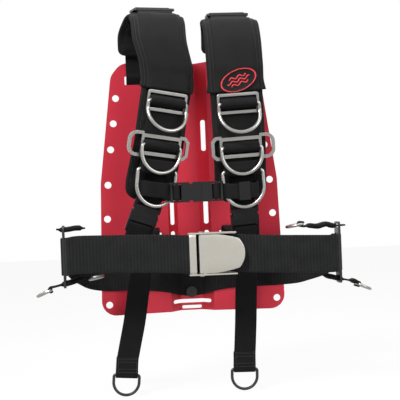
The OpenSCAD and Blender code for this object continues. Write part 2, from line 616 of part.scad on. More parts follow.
module waist_buckle_frame() {
  a = belt_w / 2 + 1;
  back = -126.2 + half_t + clear;
  color(steel) union() {
    for (m = [-1, 1])
      translate([-12, -141.5, buckle_z + (m > 0 ? a : -a - 2)]) difference() {
        cube([63, 141.5 + back + 1.5, 2]);
        translate([pin_x + 12, 141.5 + pin_y, -1]) cylinder(h = 4, d = 5.1, $fn = 48);
      }
    translate([-12, back, buckle_z - a - 1]) cube([63, 1.5, 2 * a + 2]);
    translate([left_bar_x, left_bar_y, buckle_z]) cylinder(h = 2 * a + 2, d = 6, center = true, $fn = 48);
  }
}
module waist_buckle_pin() {
  a = belt_w / 2 + 1;
  color(steel) translate([pin_x, pin_y, buckle_z]) union() {
    cylinder(h = 2 * (a + 2 + clear) + 1, d = 5, center = true, $fn = 48);
    for (m = [-1, 1])
      translate([0, 0, m * (a + 2 + clear + 0.5)]) cylinder(h = 1, d = 7, center = true, $fn = 48);
  }
}
module waist_buckle_lever() {
  a = belt_w / 2 + 0.2;
  color(steel) translate([pin_x, pin_y, buckle_z]) difference() {
    union() {
      cylinder(h = 2 * a, d = 8.4, center = true, $fn = 64);
      translate([0, 0, -a]) linear_extrude(height = 2 * a) polygon([[-2.5, -4.9], [6, -4.9], [6, -3.3], [3.5, 2],
        [2, 6], [-1, 6], [-3, 3]]);
      translate([-3, -3.3, 0]) rotate([90, 0, 0]) linear_extrude(height = 1.6)
        polygon(rounded([[0, -a, 2], [22, -a, 10], [54, -a + 6, 8], [60, 0, 14], [54, a - 6, 8], [22, a, 10], [0, a, 2]], 5));
    }
    cylinder(h = 3 * a, d = 5.15, center = true, $fn = 48);
  }
}

// ---- hip slides, tabs and D-rings ----
hip_half = 41.5;
tab_w = 22;
tab_t = 2;
tab_z = 36;
hip_ring_r = tab_w / 2 + 0.5 + tiny_wire / 2;
hip_wrap = tiny_wire / 2 + clear + tab_t / 2;
module hip_slide(s) {
  m = s == L ? -1 : 1;
  x = hip_x(s) + m * (half_t + clear);
  color(steel) translate([m > 0 ? x : x - slide_t, hip_y, hip_z(s)]) rotate([90, 0, 90])
    linear_extrude(height = slide_t) difference() {
      round_box(slide_h, 2 * hip_half, 5);
      for (k = [-1, 1])
        translate([k * bar_pitch / 2, 0]) round_box(bar_pitch - bar_w, belt_w + 1.2, 1.2);
      for (k = [-1, 1])
        translate([0, k * tab_z]) round_box(tab_w + 1.2, 5, 2);
    }
}
// tab lying flat, from a plain end through the slide to a loop round a D-ring's bar
module tab(p, c, a0, a1) {
  q = concat(p, curl(c, hip_wrap, a0, a1, 8));
  ribbon([for (v = q) [v[0], hip_y, v[1]]], [0, 1, 0], tab_w, tab_t);
}
function tab_mid(s, up) = [hip_x(s) + (s == L ? -1 : 1) * (half_t + clear + slide_t / 2), hip_z(s) + up * tab_z];
function outer_at(s) = tab_mid(s, -1) + (s == L ? [-19, -7] : [24, -8]);
function inner_at(s) = s == L ? tab_mid(s, -1) + [33, 5] : tab_mid(s, 1) + [-50, 4];
module hip_upper_tab(s) {
  k = tab_mid(s, 1);
  c = inner_at(s);
  color(black) if (s == L)
    ribbon([for (v = [k + [-9, 1], k + [-4, 0.3], k, k + [6, 0.2], k + [16, 1.5], k + [29, 1]]) [v[0], hip_y, v[1]]],
      [0, 1, 0], tab_w, tab_t);
  else
    tab([k + [9, 0.5], k + [4, 0.2], k, k + [-6, -0.2], k + [-16, 2.5], k + [-28, 0], c + [10, -hip_wrap + 0.6]], c, 270, 30);
}
module hip_lower_tab(s) {
  k = tab_mid(s, -1);
  o = outer_at(s);
  n = inner_at(s);
  color(black) if (s == L)
    ribbon([for (v = concat(
      reversed(curl(n, hip_wrap, 90, -130, 8)),
      [n + [-7, hip_wrap - 0.8], k + [10, 2.2], k + [4, 0.7], k, k + [-4, -0.8], o + [8, hip_wrap + 1.2]],
      curl(o, hip_wrap, 80, 310, 8))) [v[0], hip_y, v[1]]], [0, 1, 0], tab_w, tab_t);
  else
    tab([k + [-22, 5], k + [-12, 3], k + [-4, 0.8], k, k + [4, -0.9], o + [-9, hip_wrap + 1.4]], o, 100, -130);
}
module hip_ring(c, roll, spin) {
  translate([c[0], hip_y, c[1]]) rotate([0, roll, 0]) rotate([0, 0, 90])
    d_ring(hip_ring_r, 6, tiny_wire, tiny_wire / 2 + 1, 0);
}
module hip_outer_dring(s) { color(steel) hip_ring(outer_at(s), s == L ? 66 : -66, 0); }
module hip_inner_dring(s) { color(steel) hip_ring(inner_at(s), s == L ? -100 : 80, 0); }

// ---- every piece on its own ----
backplate();
top_screw_head();
top_screw_post();
bottom_screw_head();
bottom_screw_post();
shoulder_webbing(L);  // L_shoulder_webbing
shoulder_webbing(R);  // R_shoulder_webbing
shoulder_pad(L);  // L_shoulder_pad
shoulder_pad(R);  // R_shoulder_pad
pad_sleeve(L);  // L_pad_sleeve
pad_sleeve(R);  // R_pad_sleeve
badge_patch();
top_slide(L);  // L_top_slide
top_slide(R);  // R_top_slide
upper_slide(L);  // L_upper_slide
upper_slide(R);  // R_upper_slide
upper_dring(L);  // L_upper_dring
upper_dring(R);  // R_upper_dring
wing_slide(L);  // L_wing_slide
wing_slide(R);  // R_wing_slide
wing_dring(L);  // L_wing_dring
wing_dring(R);  // R_wing_dring
end_dring(L);  // L_end_dring
end_dring(R);  // R_end_dring
link_webbing(L);  // L_link_webbing
link_webbing(R);  // R_link_webbing
lower_buckle_female(L);  // L_lower_buckle_female
lower_buckle_female(R);  // R_lower_buckle_female
lower_buckle_male(L);  // L_lower_buckle_male
lower_buckle_male(R);  // R_lower_buckle_male
adjuster_webbing(L);  // L_adjuster_webbing
adjuster_webbing(R);  // R_adjuster_webbing
pull_ring(L);  // L_pull_ring
pull_ring(R);  // R_pull_ring
chest_webbing(L);  // L_chest_webbing
chest_webbing(R);  // R_chest_webbing
chest_keeper();
chest_buckle_female();
chest_buckle_male();
waist_webbing();
waist_buckle_frame();
waist_buckle_pin();
waist_buckle_lever();
hip_slide(L);  // L_hip_slide
hip_slide(R);  // R_hip_slide
hip_upper_tab(L);  // L_hip_upper_tab
hip_upper_tab(R);  // R_hip_upper_tab
hip_lower_tab(L);  // L_hip_lower_tab
hip_lower_tab(R);  // R_hip_lower_tab
hip_outer_dring(L);  // L_hip_outer_dring
hip_outer_dring(R);  // R_hip_outer_dring
hip_inner_dring(L);  // L_hip_inner_dring
hip_inner_dring(R);  // R_hip_inner_dring
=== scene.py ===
# %% [markdown]
# A diver's backplate: one folded sheet of red anodised aluminium that carries a
# harness of black webbing, shoulder pads and stainless steel slides and rings.
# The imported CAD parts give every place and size, so the looks are built around them.

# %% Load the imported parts
import math
import bmesh
import bpy
import numpy as np
from mathutils import Matrix, Vector


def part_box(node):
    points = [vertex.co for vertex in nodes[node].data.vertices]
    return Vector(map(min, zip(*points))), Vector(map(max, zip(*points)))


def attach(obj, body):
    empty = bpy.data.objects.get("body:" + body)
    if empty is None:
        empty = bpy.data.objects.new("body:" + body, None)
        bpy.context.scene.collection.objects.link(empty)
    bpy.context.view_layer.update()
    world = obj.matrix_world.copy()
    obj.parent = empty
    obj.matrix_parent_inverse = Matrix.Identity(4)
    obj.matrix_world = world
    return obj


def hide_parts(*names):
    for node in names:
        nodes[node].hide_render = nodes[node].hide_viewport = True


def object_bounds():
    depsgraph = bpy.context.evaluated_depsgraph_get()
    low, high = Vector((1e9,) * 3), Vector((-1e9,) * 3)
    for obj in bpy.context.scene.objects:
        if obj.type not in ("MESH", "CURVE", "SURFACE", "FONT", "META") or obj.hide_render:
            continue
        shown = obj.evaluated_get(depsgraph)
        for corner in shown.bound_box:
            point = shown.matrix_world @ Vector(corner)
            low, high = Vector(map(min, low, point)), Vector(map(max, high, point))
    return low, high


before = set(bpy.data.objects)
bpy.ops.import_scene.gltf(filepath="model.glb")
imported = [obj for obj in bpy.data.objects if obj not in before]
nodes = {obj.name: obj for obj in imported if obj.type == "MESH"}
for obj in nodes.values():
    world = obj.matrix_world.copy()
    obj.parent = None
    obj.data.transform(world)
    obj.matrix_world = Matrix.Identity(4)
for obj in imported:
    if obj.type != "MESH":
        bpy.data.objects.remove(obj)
cad_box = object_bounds()
mm = 0.001

# %% [markdown]
# The camera looks straight at the plate at the height of its middle, from a long way
# off, and a little from its left. A long lens keeps the straps nearly parallel.
# A small roll turns the whole object a little anticlockwise in the frame.

# %% Camera
def unit(v):
    v = np.asarray(v, float)
    return v / np.linalg.norm(v, axis=-1, keepdims=True)

look_at = np.array([15.545, -20.360, -39.315]) * mm
view_distance = 1.6
view_width = 0.564
sensor_width = 36.0
view_back = unit([-0.08716, -0.99619, 0.0])
roll = math.radians(2.2)
level_right = np.array([-view_back[1], view_back[0], 0.0])
level_up = np.array([0.0, 0.0, 1.0])
right = level_right * math.cos(roll) - level_up * math.sin(roll)
up = level_right * math.sin(roll) + level_up * math.cos(roll)

camera_data = bpy.data.cameras.new("camera")
camera_data.sensor_width = sensor_width
camera_data.lens = sensor_width * view_distance / view_width
camera_data.clip_end = 20
camera = bpy.data.objects.new("camera", camera_data)
bpy.context.scene.collection.objects.link(camera)
turned = Matrix((right, up, view_back)).transposed().to_4x4()
camera.matrix_world = Matrix.Translation(Vector(look_at + view_back * view_distance)) @ turned
bpy.context.scene.camera = camera
print("lens", round(camera_data.lens, 1), "mm")

# %% [markdown]
# Every material here is a tree of nodes. Three helpers keep the trees short to write:
# one starts an empty material, one adds a node with its values or links, and one adds
# a single step of arithmetic. A value that is itself a socket becomes a link.

# %% Helpers for node trees
def new_material(name):
    material = bpy.data.materials.new(name)
    material.use_nodes = True
    material.node_tree.nodes.clear()
    return material, material.node_tree

def add(tree, kind, values=None, **settings):
    node = tree.nodes.new(kind)
    for key, value in settings.items():
        setattr(node, key, value)
    for key, value in (values or {}).items():
        if isinstance(value, bpy.types.NodeSocket):
            tree.links.new(value, node.inputs[key])
        else:
            node.inputs[key].default_value = value
    return node

def maths(tree, operation, a, b=0.0, c=0.0):
    return add(tree, "ShaderNodeMath", {0: a, 1: b, 2: c}, operation=operation).outputs[0]

print("helpers:", new_material.__name__, add.__name__, maths.__name__)

# %% [markdown]
# The sky gives a soft, even light from all round. Rays that come straight from the
# camera, or off metal, see plain white instead, so the background stays clean and no
# extra light falls on the object.

# %% World
white = (1, 1, 1, 1)
sky_light = 0.34

def shows_background(tree, rays):
    mirrored = maths(tree, "MAXIMUM", rays.outputs["Is Glossy Ray"], rays.outputs["Is Transmission Ray"])
    return maths(tree, "MAXIMUM", rays.outputs["Is Camera Ray"], mirrored)

world = bpy.data.worlds.new("studio")
bpy.context.scene.world = world
world.use_nodes = True
sky = world.node_tree
sky.nodes.clear()
rays = add(sky, "ShaderNodeLightPath")
seen = shows_background(sky, rays)
soft_sky = add(sky, "ShaderNodeBackground", {"Color": white, "Strength": sky_light})
white_sky = add(sky, "ShaderNodeBackground", {"Color": white, "Strength": 1.0})
both = add(sky, "ShaderNodeMixShader", {0: seen, 1: soft_sky.outputs[0], 2: white_sky.outputs[0]})
add(sky, "ShaderNodeOutputWorld", {"Surface": both.outputs[0]})
print("sky light", sky_light)

# %% [markdown]
# The floor lies 2 mm under the lowest ring. To the camera it is mostly plain white,
# and the small matt share that is left keeps the object's soft shadow.

# %% Floor
floor_gap = 2 * mm
floor_white = 0.92
floor_z = cad_box[0][2] - floor_gap
bpy.ops.mesh.primitive_plane_add(size=8, location=(0, 0, floor_z))
floor = bpy.context.object
floor.name = "floor"
floor_paint, tree = new_material("pale_floor")
rays = add(tree, "ShaderNodeLightPath")
matt = add(tree, "ShaderNodeBsdfDiffuse", {"Color": (0.9, 0.9, 0.9, 1)})
lift = add(tree, "ShaderNodeEmission", {"Color": white, "Strength": 1.0})
shown = maths(tree, "MULTIPLY", shows_background(tree, rays), floor_white)
mix = add(tree, "ShaderNodeMixShader", {0: shown, 1: matt.outputs[0], 2: lift.outputs[0]})
add(tree, "ShaderNodeOutputMaterial", {"Surface": mix.outputs[0]})
floor.data.materials.append(floor_paint)
print("floor at", round(floor_z, 4), "m")

# %% [markdown]
# One broad lamp stands high on the left in front, a weaker one on the right and one
# overhead. The first two are narrowed, so more of their light falls on the shoulders.

# %% Lamps
def lamp(name, place, aim, size, power, spread=180):
    data = bpy.data.lights.new(name, "AREA")
    data.shape = "DISK"
    data.size = size
    data.energy = power
    data.spread = math.radians(spread)
    obj = bpy.data.objects.new(name, data)
    bpy.context.scene.collection.objects.link(obj)
    obj.location = place
    obj.rotation_euler = (Vector(aim) - Vector(place)).to_track_quat("-Z", "Y").to_euler()

middle = (0.0, -0.06, -0.04)
lamp("key_lamp", (-0.60, -1.00, 1.00), (0.0, -0.06, 0.17), 0.6, 4.6, 60)
lamp("fill_lamp", (1.4, -1.2, 0.7), (0.0, -0.06, 0.10), 1.0, 3.6, 80)
lamp("top_lamp", (0.1, 0.2, 1.5), middle, 1.0, 8)
bpy.context.scene.view_settings.view_transform = "Standard"
print(len(bpy.data.lights), "lamps")

# %% [markdown]
# Effects that several finishes share are shader groups. The first is the weave of
# webbing and cloth: small hills where a thread passes over, set out along the piece's
# own UV map, which is in metres, so that the threads follow every bend.

# %% Group: woven threads
def shader_group(name, inputs, outputs):
    group = bpy.data.node_groups.new(name, "ShaderNodeTree")
    for label, kind, value in inputs:
        socket = group.interface.new_socket(name=label, in_out="INPUT", socket_type=kind)
        socket.default_value = value
    for label, kind in outputs:
        group.interface.new_socket(name=label, in_out="OUTPUT", socket_type=kind)
    return group, add(group, "NodeGroupInput"), add(group, "NodeGroupOutput")

FLOAT = "NodeSocketFloat"
weave, given, result = shader_group(
    "woven_threads",
    [("Across", FLOAT, 0.001), ("Along", FLOAT, 0.001), ("Slant", FLOAT, 0.0), ("Column", FLOAT, 0.006)],
    [("Height", FLOAT), ("Shade", FLOAT)])
place = add(weave, "ShaderNodeUVMap", uv_map="weave")
parts = add(weave, "ShaderNodeSeparateXYZ", {0: place.outputs[0]})
side, length = parts.outputs[0], parts.outputs[1]
zigzag = maths(weave, "PINGPONG", side, given.outputs["Column"])
leaning = maths(weave, "MULTIPLY_ADD", zigzag, given.outputs["Slant"], length)
across = maths(weave, "DIVIDE", side, given.outputs["Across"])
warp = maths(weave, "SINE", maths(weave, "MULTIPLY", across, math.tau))
along = maths(weave, "DIVIDE", leaning, given.outputs["Along"])
weft = maths(weave, "SINE", maths(weave, "MULTIPLY", along, math.tau))
hills = maths(weave, "MULTIPLY_ADD", maths(weave, "MULTIPLY", warp, weft), 0.5, 0.5)
ribs = maths(weave, "MULTIPLY_ADD", weft, 0.5, 0.5)
height = maths(weave, "ADD", maths(weave, "MULTIPLY", hills, 0.5), maths(weave, "MULTIPLY", ribs, 0.5))
weave.links.new(height, result.inputs["Height"])
# The second output is half random fuzz and half thread height; colour that follows it is painted shade,
# lighter on raised threads and darker in the gaps between them.
fuzz = add(weave, "ShaderNodeTexNoise", {"Vector": place.outputs[0], "Scale": 55.0, "Detail": 4.0})
weave.links.new(maths(weave, "MULTIPLY_ADD", fuzz.outputs[0], 0.5, maths(weave, "MULTIPLY", height, 0.5)),
                result.inputs["Shade"])
print("group", weave.name)

# %% [markdown]
# The second group is a fine grain with slow blotches, for the anodised sheet, moulded
# plastic and coated steel. The third draws brushed metal: noise that is stretched a
# long way in one direction. The fourth finds edges, where a finish wears first,
# by comparing the true normal with one that a bevel would give.

# %% Groups: grain, brushing and edge wear
def noise(tree, vector, scale, detail):
    return add(tree, "ShaderNodeTexNoise", {"Vector": vector, "Scale": scale, "Detail": detail})

grain, given, result = shader_group(
    "fine_grain", [("Size", FLOAT, 900.0), ("Blotch", FLOAT, 14.0)], [("Height", FLOAT), ("Blotches", FLOAT)])
place = add(grain, "ShaderNodeTexCoord")
speck = noise(grain, place.outputs["Object"], given.outputs["Size"], 2.0)
slow = noise(grain, place.outputs["Object"], given.outputs["Blotch"], 5.0)
grain.links.new(speck.outputs[0], result.inputs["Height"])
grain.links.new(slow.outputs[0], result.inputs["Blotches"])

brushing, given, result = shader_group(
    "brushed_lines", [("Fineness", FLOAT, 400.0)], [("Height", FLOAT), ("Haze", FLOAT)])
place = add(brushing, "ShaderNodeTexCoord")
stretch = add(brushing, "ShaderNodeMapping", {"Vector": place.outputs["Object"], "Scale": (0.03, 1.0, 1.0)})
lines = noise(brushing, stretch.outputs[0], given.outputs["Fineness"], 6.0)
haze = noise(brushing, place.outputs["Object"], 60.0, 4.0)
brushing.links.new(lines.outputs[0], result.inputs["Height"])
brushing.links.new(haze.outputs[0], result.inputs["Haze"])

edges, given, result = shader_group(
    "edge_wear", [("Width", FLOAT, 0.0006), ("Amount", FLOAT, 0.6)], [("Mask", FLOAT)])
rounded = add(edges, "ShaderNodeBevel", {"Radius": given.outputs["Width"]}, samples=4)
flat = add(edges, "ShaderNodeNewGeometry")
agree = add(edges, "ShaderNodeVectorMath", {0: rounded.outputs[0], 1: flat.outputs["Normal"]},
            operation="DOT_PRODUCT")
bend = maths(edges, "SUBTRACT", 1.0, agree.outputs["Value"])
place = add(edges, "ShaderNodeTexCoord")
broken = noise(edges, place.outputs["Object"], 160.0, 4.0)
ragged = maths(edges, "MULTIPLY", bend, maths(edges, "MULTIPLY", broken.outputs[0], given.outputs["Amount"]))
clamped = add(edges, "ShaderNodeClamp", {0: maths(edges, "MULTIPLY", ragged, 9.0)})
edges.links.new(clamped.outputs[0], result.inputs["Mask"])
print("groups", [group.name for group in (grain, brushing, edges)])

# %% [markdown]
# Each finish is one Principled shader. Colours are close to what the material shows
# in daylight; the groups only vary them a little and set the fine relief. Values that
# are the same all over, such as the sheen, stay on the shader's own sockets.

# %% Building a finish
def placed(tree, group, values):
    node = tree.nodes.new("ShaderNodeGroup")
    node.node_tree = group
    for key, value in values.items():
        node.inputs[key].default_value = value
    return node

def between(tree, share, low, high):
    ramp = add(tree, "ShaderNodeMapRange", {"Value": share, "To Min": low, "To Max": high})
    return ramp.outputs[0]

def blended(tree, share, first, second):
    node = add(tree, "ShaderNodeMix", {"Factor": share}, data_type="RGBA")
    for socket, colour in ((6, first), (7, second)):
        if isinstance(colour, bpy.types.NodeSocket):
            tree.links.new(colour, node.inputs[socket])
        else:
            node.inputs[socket].default_value = (*colour, 1)
    return node.outputs[2]

def finish(material, tree, values, relief, distance, strength):
    """Puts a Principled shader with fine relief in the material's tree."""
    bump = add(tree, "ShaderNodeBump", {"Height": relief, "Distance": distance, "Strength": strength})
    shader = add(tree, "ShaderNodeBsdfPrincipled", {**values, "Normal": bump.outputs[0]})
    add(tree, "ShaderNodeOutputMaterial", {"Surface": shader.outputs[0]})
    return material

print("finishes use", weave.name, grain.name, brushing.name, edges.name)

# %% [markdown]
# Webbing is nylon woven in a close, slightly slanted twill; the belt has a coarse
# cross rib. Pads and sleeves have a fine cloth cover and the tape a plain close one.
# All are black, so their threads show by relief and by painted shade: the colour is
# lighter on the raised threads and darker in the gaps between them. Thread sizes are in metres.

# %% Cloth finishes
def cloth(name, dark, light, across, along, slant, column, depth, rough, sheen):
    material, tree = new_material(name)
    threads = placed(tree, weave, {"Across": across, "Along": along, "Slant": slant, "Column": column})
    # Painted shade: the colour runs from dark in the gaps between threads to light on raised threads, mixed
    # with random fuzz.
    colour = blended(tree, threads.outputs["Shade"], dark, light)
    values = {"Base Color": colour,
              "Roughness": between(tree, threads.outputs["Shade"], rough + 0.08, rough - 0.08),
              "Sheen Weight": sheen, "Sheen Roughness": 0.5, "Specular IOR Level": 0.11}
    return finish(material, tree, values, threads.outputs["Height"], depth, 0.6)

web_black = cloth("black_webbing", (0.0025, 0.0025, 0.0026), (0.0085, 0.0085, 0.009), across=0.0011,
                  along=0.0016, slant=0.6, column=0.006, depth=0.0002, rough=0.8, sheen=0.02)
belt_black = cloth("belt_webbing", (0.0005, 0.0005, 0.0005), (0.0175, 0.018, 0.0185), across=0.0044,
                   along=0.0044, slant=0.0, column=0.05, depth=0.0006, rough=0.72, sheen=0.02)
pad_black = cloth("pad_cloth", (0.0035, 0.0035, 0.0036), (0.008, 0.008, 0.0083), across=0.0007,
                  along=0.0007, slant=0.0, column=0.01, depth=0.00008, rough=0.85, sheen=0.04)
tape_black = cloth("binding_tape", (0.004, 0.004, 0.0042), (0.012, 0.012, 0.0125), across=0.0012,
                   along=0.0012, slant=0.0, column=0.01, depth=0.00016, rough=0.75, sheen=0.03)
sleeve_black = cloth("sleeve_cloth", (0.004, 0.004, 0.0041), (0.012, 0.012, 0.0123), across=0.0016,
                     along=0.0009, slant=0.3, column=0.008, depth=0.00014, rough=0.82, sheen=0.04)
print(len(bpy.data.materials), "materials so far")

# %% [markdown]
# The plate is anodised: colour in a thin hard skin over aluminium, which wears paler
# on its edges. The small buckles and the keeper are moulded nylon. The screw heads,
# pull rings, top slides and hip slides are steel with a black coat. All of them share
# the grain and the edge wear.

# %% Plain finishes
def plain(name, colour, worn, rough, metallic, size, depth, wear=0.5, shine=0.5):
    material, tree = new_material(name)
    speckle = placed(tree, grain, {"Size": size, "Blotch": 14.0})
    rub = placed(tree, edges, {"Amount": wear})
    spread = 0.12
    dark = [c * (1 - spread) for c in colour]
    light = [min(1, c * (1 + spread)) for c in colour]
    shade = blended(tree, speckle.outputs["Blotches"], dark, light)
    values = {"Base Color": blended(tree, rub.outputs[0], shade, worn),
              "Roughness": between(tree, speckle.outputs["Blotches"], rough + 0.07, rough - 0.07),
              "Metallic": metallic, "Specular IOR Level": shine}
    return finish(material, tree, values, speckle.outputs["Height"], depth, 0.35)

red_metal = plain("red_anodised", (0.60, 0.034, 0.058), (0.80, 0.32, 0.34), rough=0.38, metallic=0.5,
                  size=1400.0, depth=0.00004, wear=0.25, shine=0.35)
plastic = plain("moulded_plastic", (0.0045, 0.0045, 0.005), (0.018, 0.018, 0.02), rough=0.5, metallic=0.0,
                size=1800.0, depth=0.00005, wear=0.3, shine=0.25)
coated = plain("coated_steel", (0.012, 0.012, 0.012), (0.07, 0.07, 0.07), rough=0.40, metallic=0.2,
               size=1500.0, depth=0.00003)
badge_red = plain("badge_red", (0.50, 0.02, 0.03), (0.6, 0.1, 0.1), rough=0.7, metallic=0.0,
                  size=2600.0, depth=0.0001)
thread_black = plain("black_thread", (0.022, 0.022, 0.024), (0.04, 0.04, 0.045), rough=0.6, metallic=0.0,
                     size=2600.0, depth=0.00005)
print(len(bpy.data.materials), "materials so far")

# %% [markdown]
# The other rings and slides and the waist buckle are satin stainless steel. Fine lines
# left by brushing set the roughness and the relief, and a slow haze darkens the colour
# in places. The buckle's plate is a paler and duller sheet.

# %% Steel finishes
def steel_finish(name, colour, rough, fineness):
    material, tree = new_material(name)
    brushed = placed(tree, brushing, {"Fineness": fineness})
    rub = placed(tree, edges, {"Amount": 0.4})
    shade = blended(tree, brushed.outputs["Haze"], [c * 0.86 for c in colour], colour)
    values = {"Base Color": blended(tree, rub.outputs[0], shade, (0.85, 0.84, 0.82)),
              "Roughness": between(tree, brushed.outputs["Height"], rough - 0.08, rough + 0.12),
              "Metallic": 1.0}
    return finish(material, tree, values, brushed.outputs["Height"], 0.00003, 0.25)

steel = steel_finish("satin_steel", (0.34, 0.335, 0.32), 0.28, 420.0)
steel_plate = steel_finish("satin_plate", (0.50, 0.48, 0.43), 0.40, 700.0)
print(len(bpy.data.materials), "finishes")

# %% [markdown]
# The hard parts stay as the CAD made them. Except on the backplate and some steel parts,
# sharp edges are welded and rounded with a small bevel, which catches light as a deburred edge does.

# %% Hard parts
def soften(obj, width):
    weld = obj.modifiers.new("weld", "WELD")
    weld.merge_threshold = 1e-6
    bevel = obj.modifiers.new("edge", "BEVEL")
    bevel.width = width
    bevel.segments = 2
    bevel.limit_method = "ANGLE"
    bevel.angle_limit = math.radians(35)
    bevel.harden_normals = True

def paint(obj, material):
    obj.data.materials.clear()
    obj.data.materials.append(material)

def finish_of(name):
    """A hard part's finish and the width of its edge bevel."""
    if name == "backplate":
        return red_metal, 0
    if any(word in name for word in ("pull_ring", "screw_head", "top_slide", "hip_slide")):
        return coated, 0.35 * mm
    if name.startswith("waist_buckle_lever") or name.startswith("waist_buckle_frame"):
        return steel_plate, 0.4 * mm
    if "buckle_female" in name or "buckle_male" in name or "keeper" in name:
        return plastic, 0.5 * mm
    if "slide" in name:
        return steel, 0.7 * mm
    return steel, 0

soft_words = ("webbing", "pad", "tab", "sleeve", "patch")
hard = [name for name in nodes if not any(word in name for word in soft_words)]
for name in hard:
    material, width = finish_of(name)
    paint(nodes[name], material)
    if width:
        soften(nodes[name], width)
print(len(hard), "hard parts")

# %% [markdown]
# Webbing and pads in the CAD are plain ribbons: a chain of four-cornered sections.
# An end section has only four neighbours, so it can be found, and each next section
# is what touches the one before. The corners round a section are put in the shortest
# loop, and each loop starts where the one before it did.

# %% Finding a ribbon's sections
def touching(shape, skip):
    """Which corners each corner of a mesh shares an edge with."""
    near = {v.index: set() for v in shape.verts if not skip(v.co)}
    for edge in shape.edges:
        a, b = (v.index for v in edge.verts)
        if a in near and b in near:
            near[a].add(b)
            near[b].add(a)
    return near

def end_sections(shape, near):
    found = []
    for edge in shape.edges:
        four = {v.index for face in edge.link_faces for v in face.verts}
        if len(four) == 4 and all(i in near for i in four):
            if len(set().union(*(near[i] for i in four)) - four) == 4 and four not in found:
                found.append(four)
    return found

def in_order(four, points, before=None):
    """The corners of a section in order round it, starting where the one before started."""
    def length(ring):
        return sum(np.linalg.norm(points[ring[i]] - points[ring[i - 1]]) for i in range(4))

    def shift(ring):
        return sum(np.linalg.norm(points[i] - points[j]) for i, j in zip(ring, before))

    four = list(four)
    rounds = [(0, 1, 2, 3), (0, 2, 1, 3), (0, 1, 3, 2)]
    ring = min(([four[i] for i in r] for r in rounds), key=length)
    if before is None:
        return ring
    turns = [ring[k:] + ring[:k] for k in range(4)]
    turns += [t[::-1] for t in turns]
    return min(turns, key=shift)

print("readers:", touching.__name__, end_sections.__name__, in_order.__name__)

# %% [markdown]
# Walking from section to section gives the ribbon's middle line, its width and its
# thickness. A smooth cubic through them gives as many even steps as a piece needs.
# The belt has a round hole for the lower screw, whose corners are left out.

# %% Walking along a ribbon
def sections(name, skip):
    """Each section's middle, its vector across and its vector through."""
    shape = bmesh.new()
    shape.from_mesh(nodes[name].data)
    bmesh.ops.remove_doubles(shape, verts=shape.verts, dist=2e-6)
    shape.verts.ensure_lookup_table()
    points = np.array([v.co[:] for v in shape.verts])
    near = touching(shape, skip)
    first = min(end_sections(shape, near), key=lambda four: points[list(four), 1].mean())
    shape.free()
    rings = [in_order(first, points)]
    used = set(first)
    while True:
        following = set().union(*(near[i] for i in rings[-1])) - used
        if len(following) < 4:
            break
        rings.append(in_order(following, points, rings[-1]))
        used |= following
    a, b, c, d = (points[[r[k] for r in rings]] for k in range(4))
    if np.linalg.norm(b[1] - a[1]) < np.linalg.norm(d[1] - a[1]):
        a, b, c, d = b, c, d, a
    return (a + b + c + d) / 4, ((b - a) + (c - d)) / 2, ((d - a) + (c - b)) / 2

def eased(values, at, new_at):
    """Values between the given ones, on a smooth cubic."""
    slope = np.gradient(values, at, axis=0)
    i = np.clip(np.searchsorted(at, new_at, side="right") - 1, 0, len(at) - 2)
    h = (at[i + 1] - at[i])[:, None]
    f = (new_at - at[i])[:, None] / h
    a, b, ma, mb = values[i], values[i + 1], slope[i] * h, slope[i + 1] * h
    return ((2 * f**3 - 3 * f**2 + 1) * a + (f**3 - 2 * f**2 + f) * ma
            + (3 * f**2 - 2 * f**3) * b + (f**3 - f**2) * mb)

def run_length(points):
    """The distance along a path at each of its points."""
    return np.concatenate([[0], np.cumsum(np.linalg.norm(np.diff(points, axis=0), axis=1))])

lower_screw_z = -169 * mm
screw_hole = 5.2 * mm

def round_screw(co):
    return math.hypot(co.x, co.z - lower_screw_z) < screw_hole

def ribbon_of(name, step=2.0):
    """The ribbon in even steps: middle, unit side, unit front, width, thickness and length along."""
    mid, wide, thick = sections(name, round_screw)
    at = run_length(mid)
    new_at = np.linspace(0, at[-1], int(at[-1] / (step * mm)) + 2)
    mid, wide, thick = (eased(v, at, new_at) for v in (mid, wide, thick))
    return {"mid": mid, "side": unit(wide), "front": unit(thick), "along": new_at,
            "wide": np.linalg.norm(wide, axis=1), "thick": np.linalg.norm(thick, axis=1)}

print("belt read as", len(sections("waist_webbing", round_screw)[0]), "sections")

# %% [markdown]
# Every strap, pad and tape is one closed skin: a profile swept along a ribbon, with
# both ends capped. Its UV map runs in metres round the profile and along the ribbon,
# so the weave keeps its size on every bend. Faces are turned to point outwards.

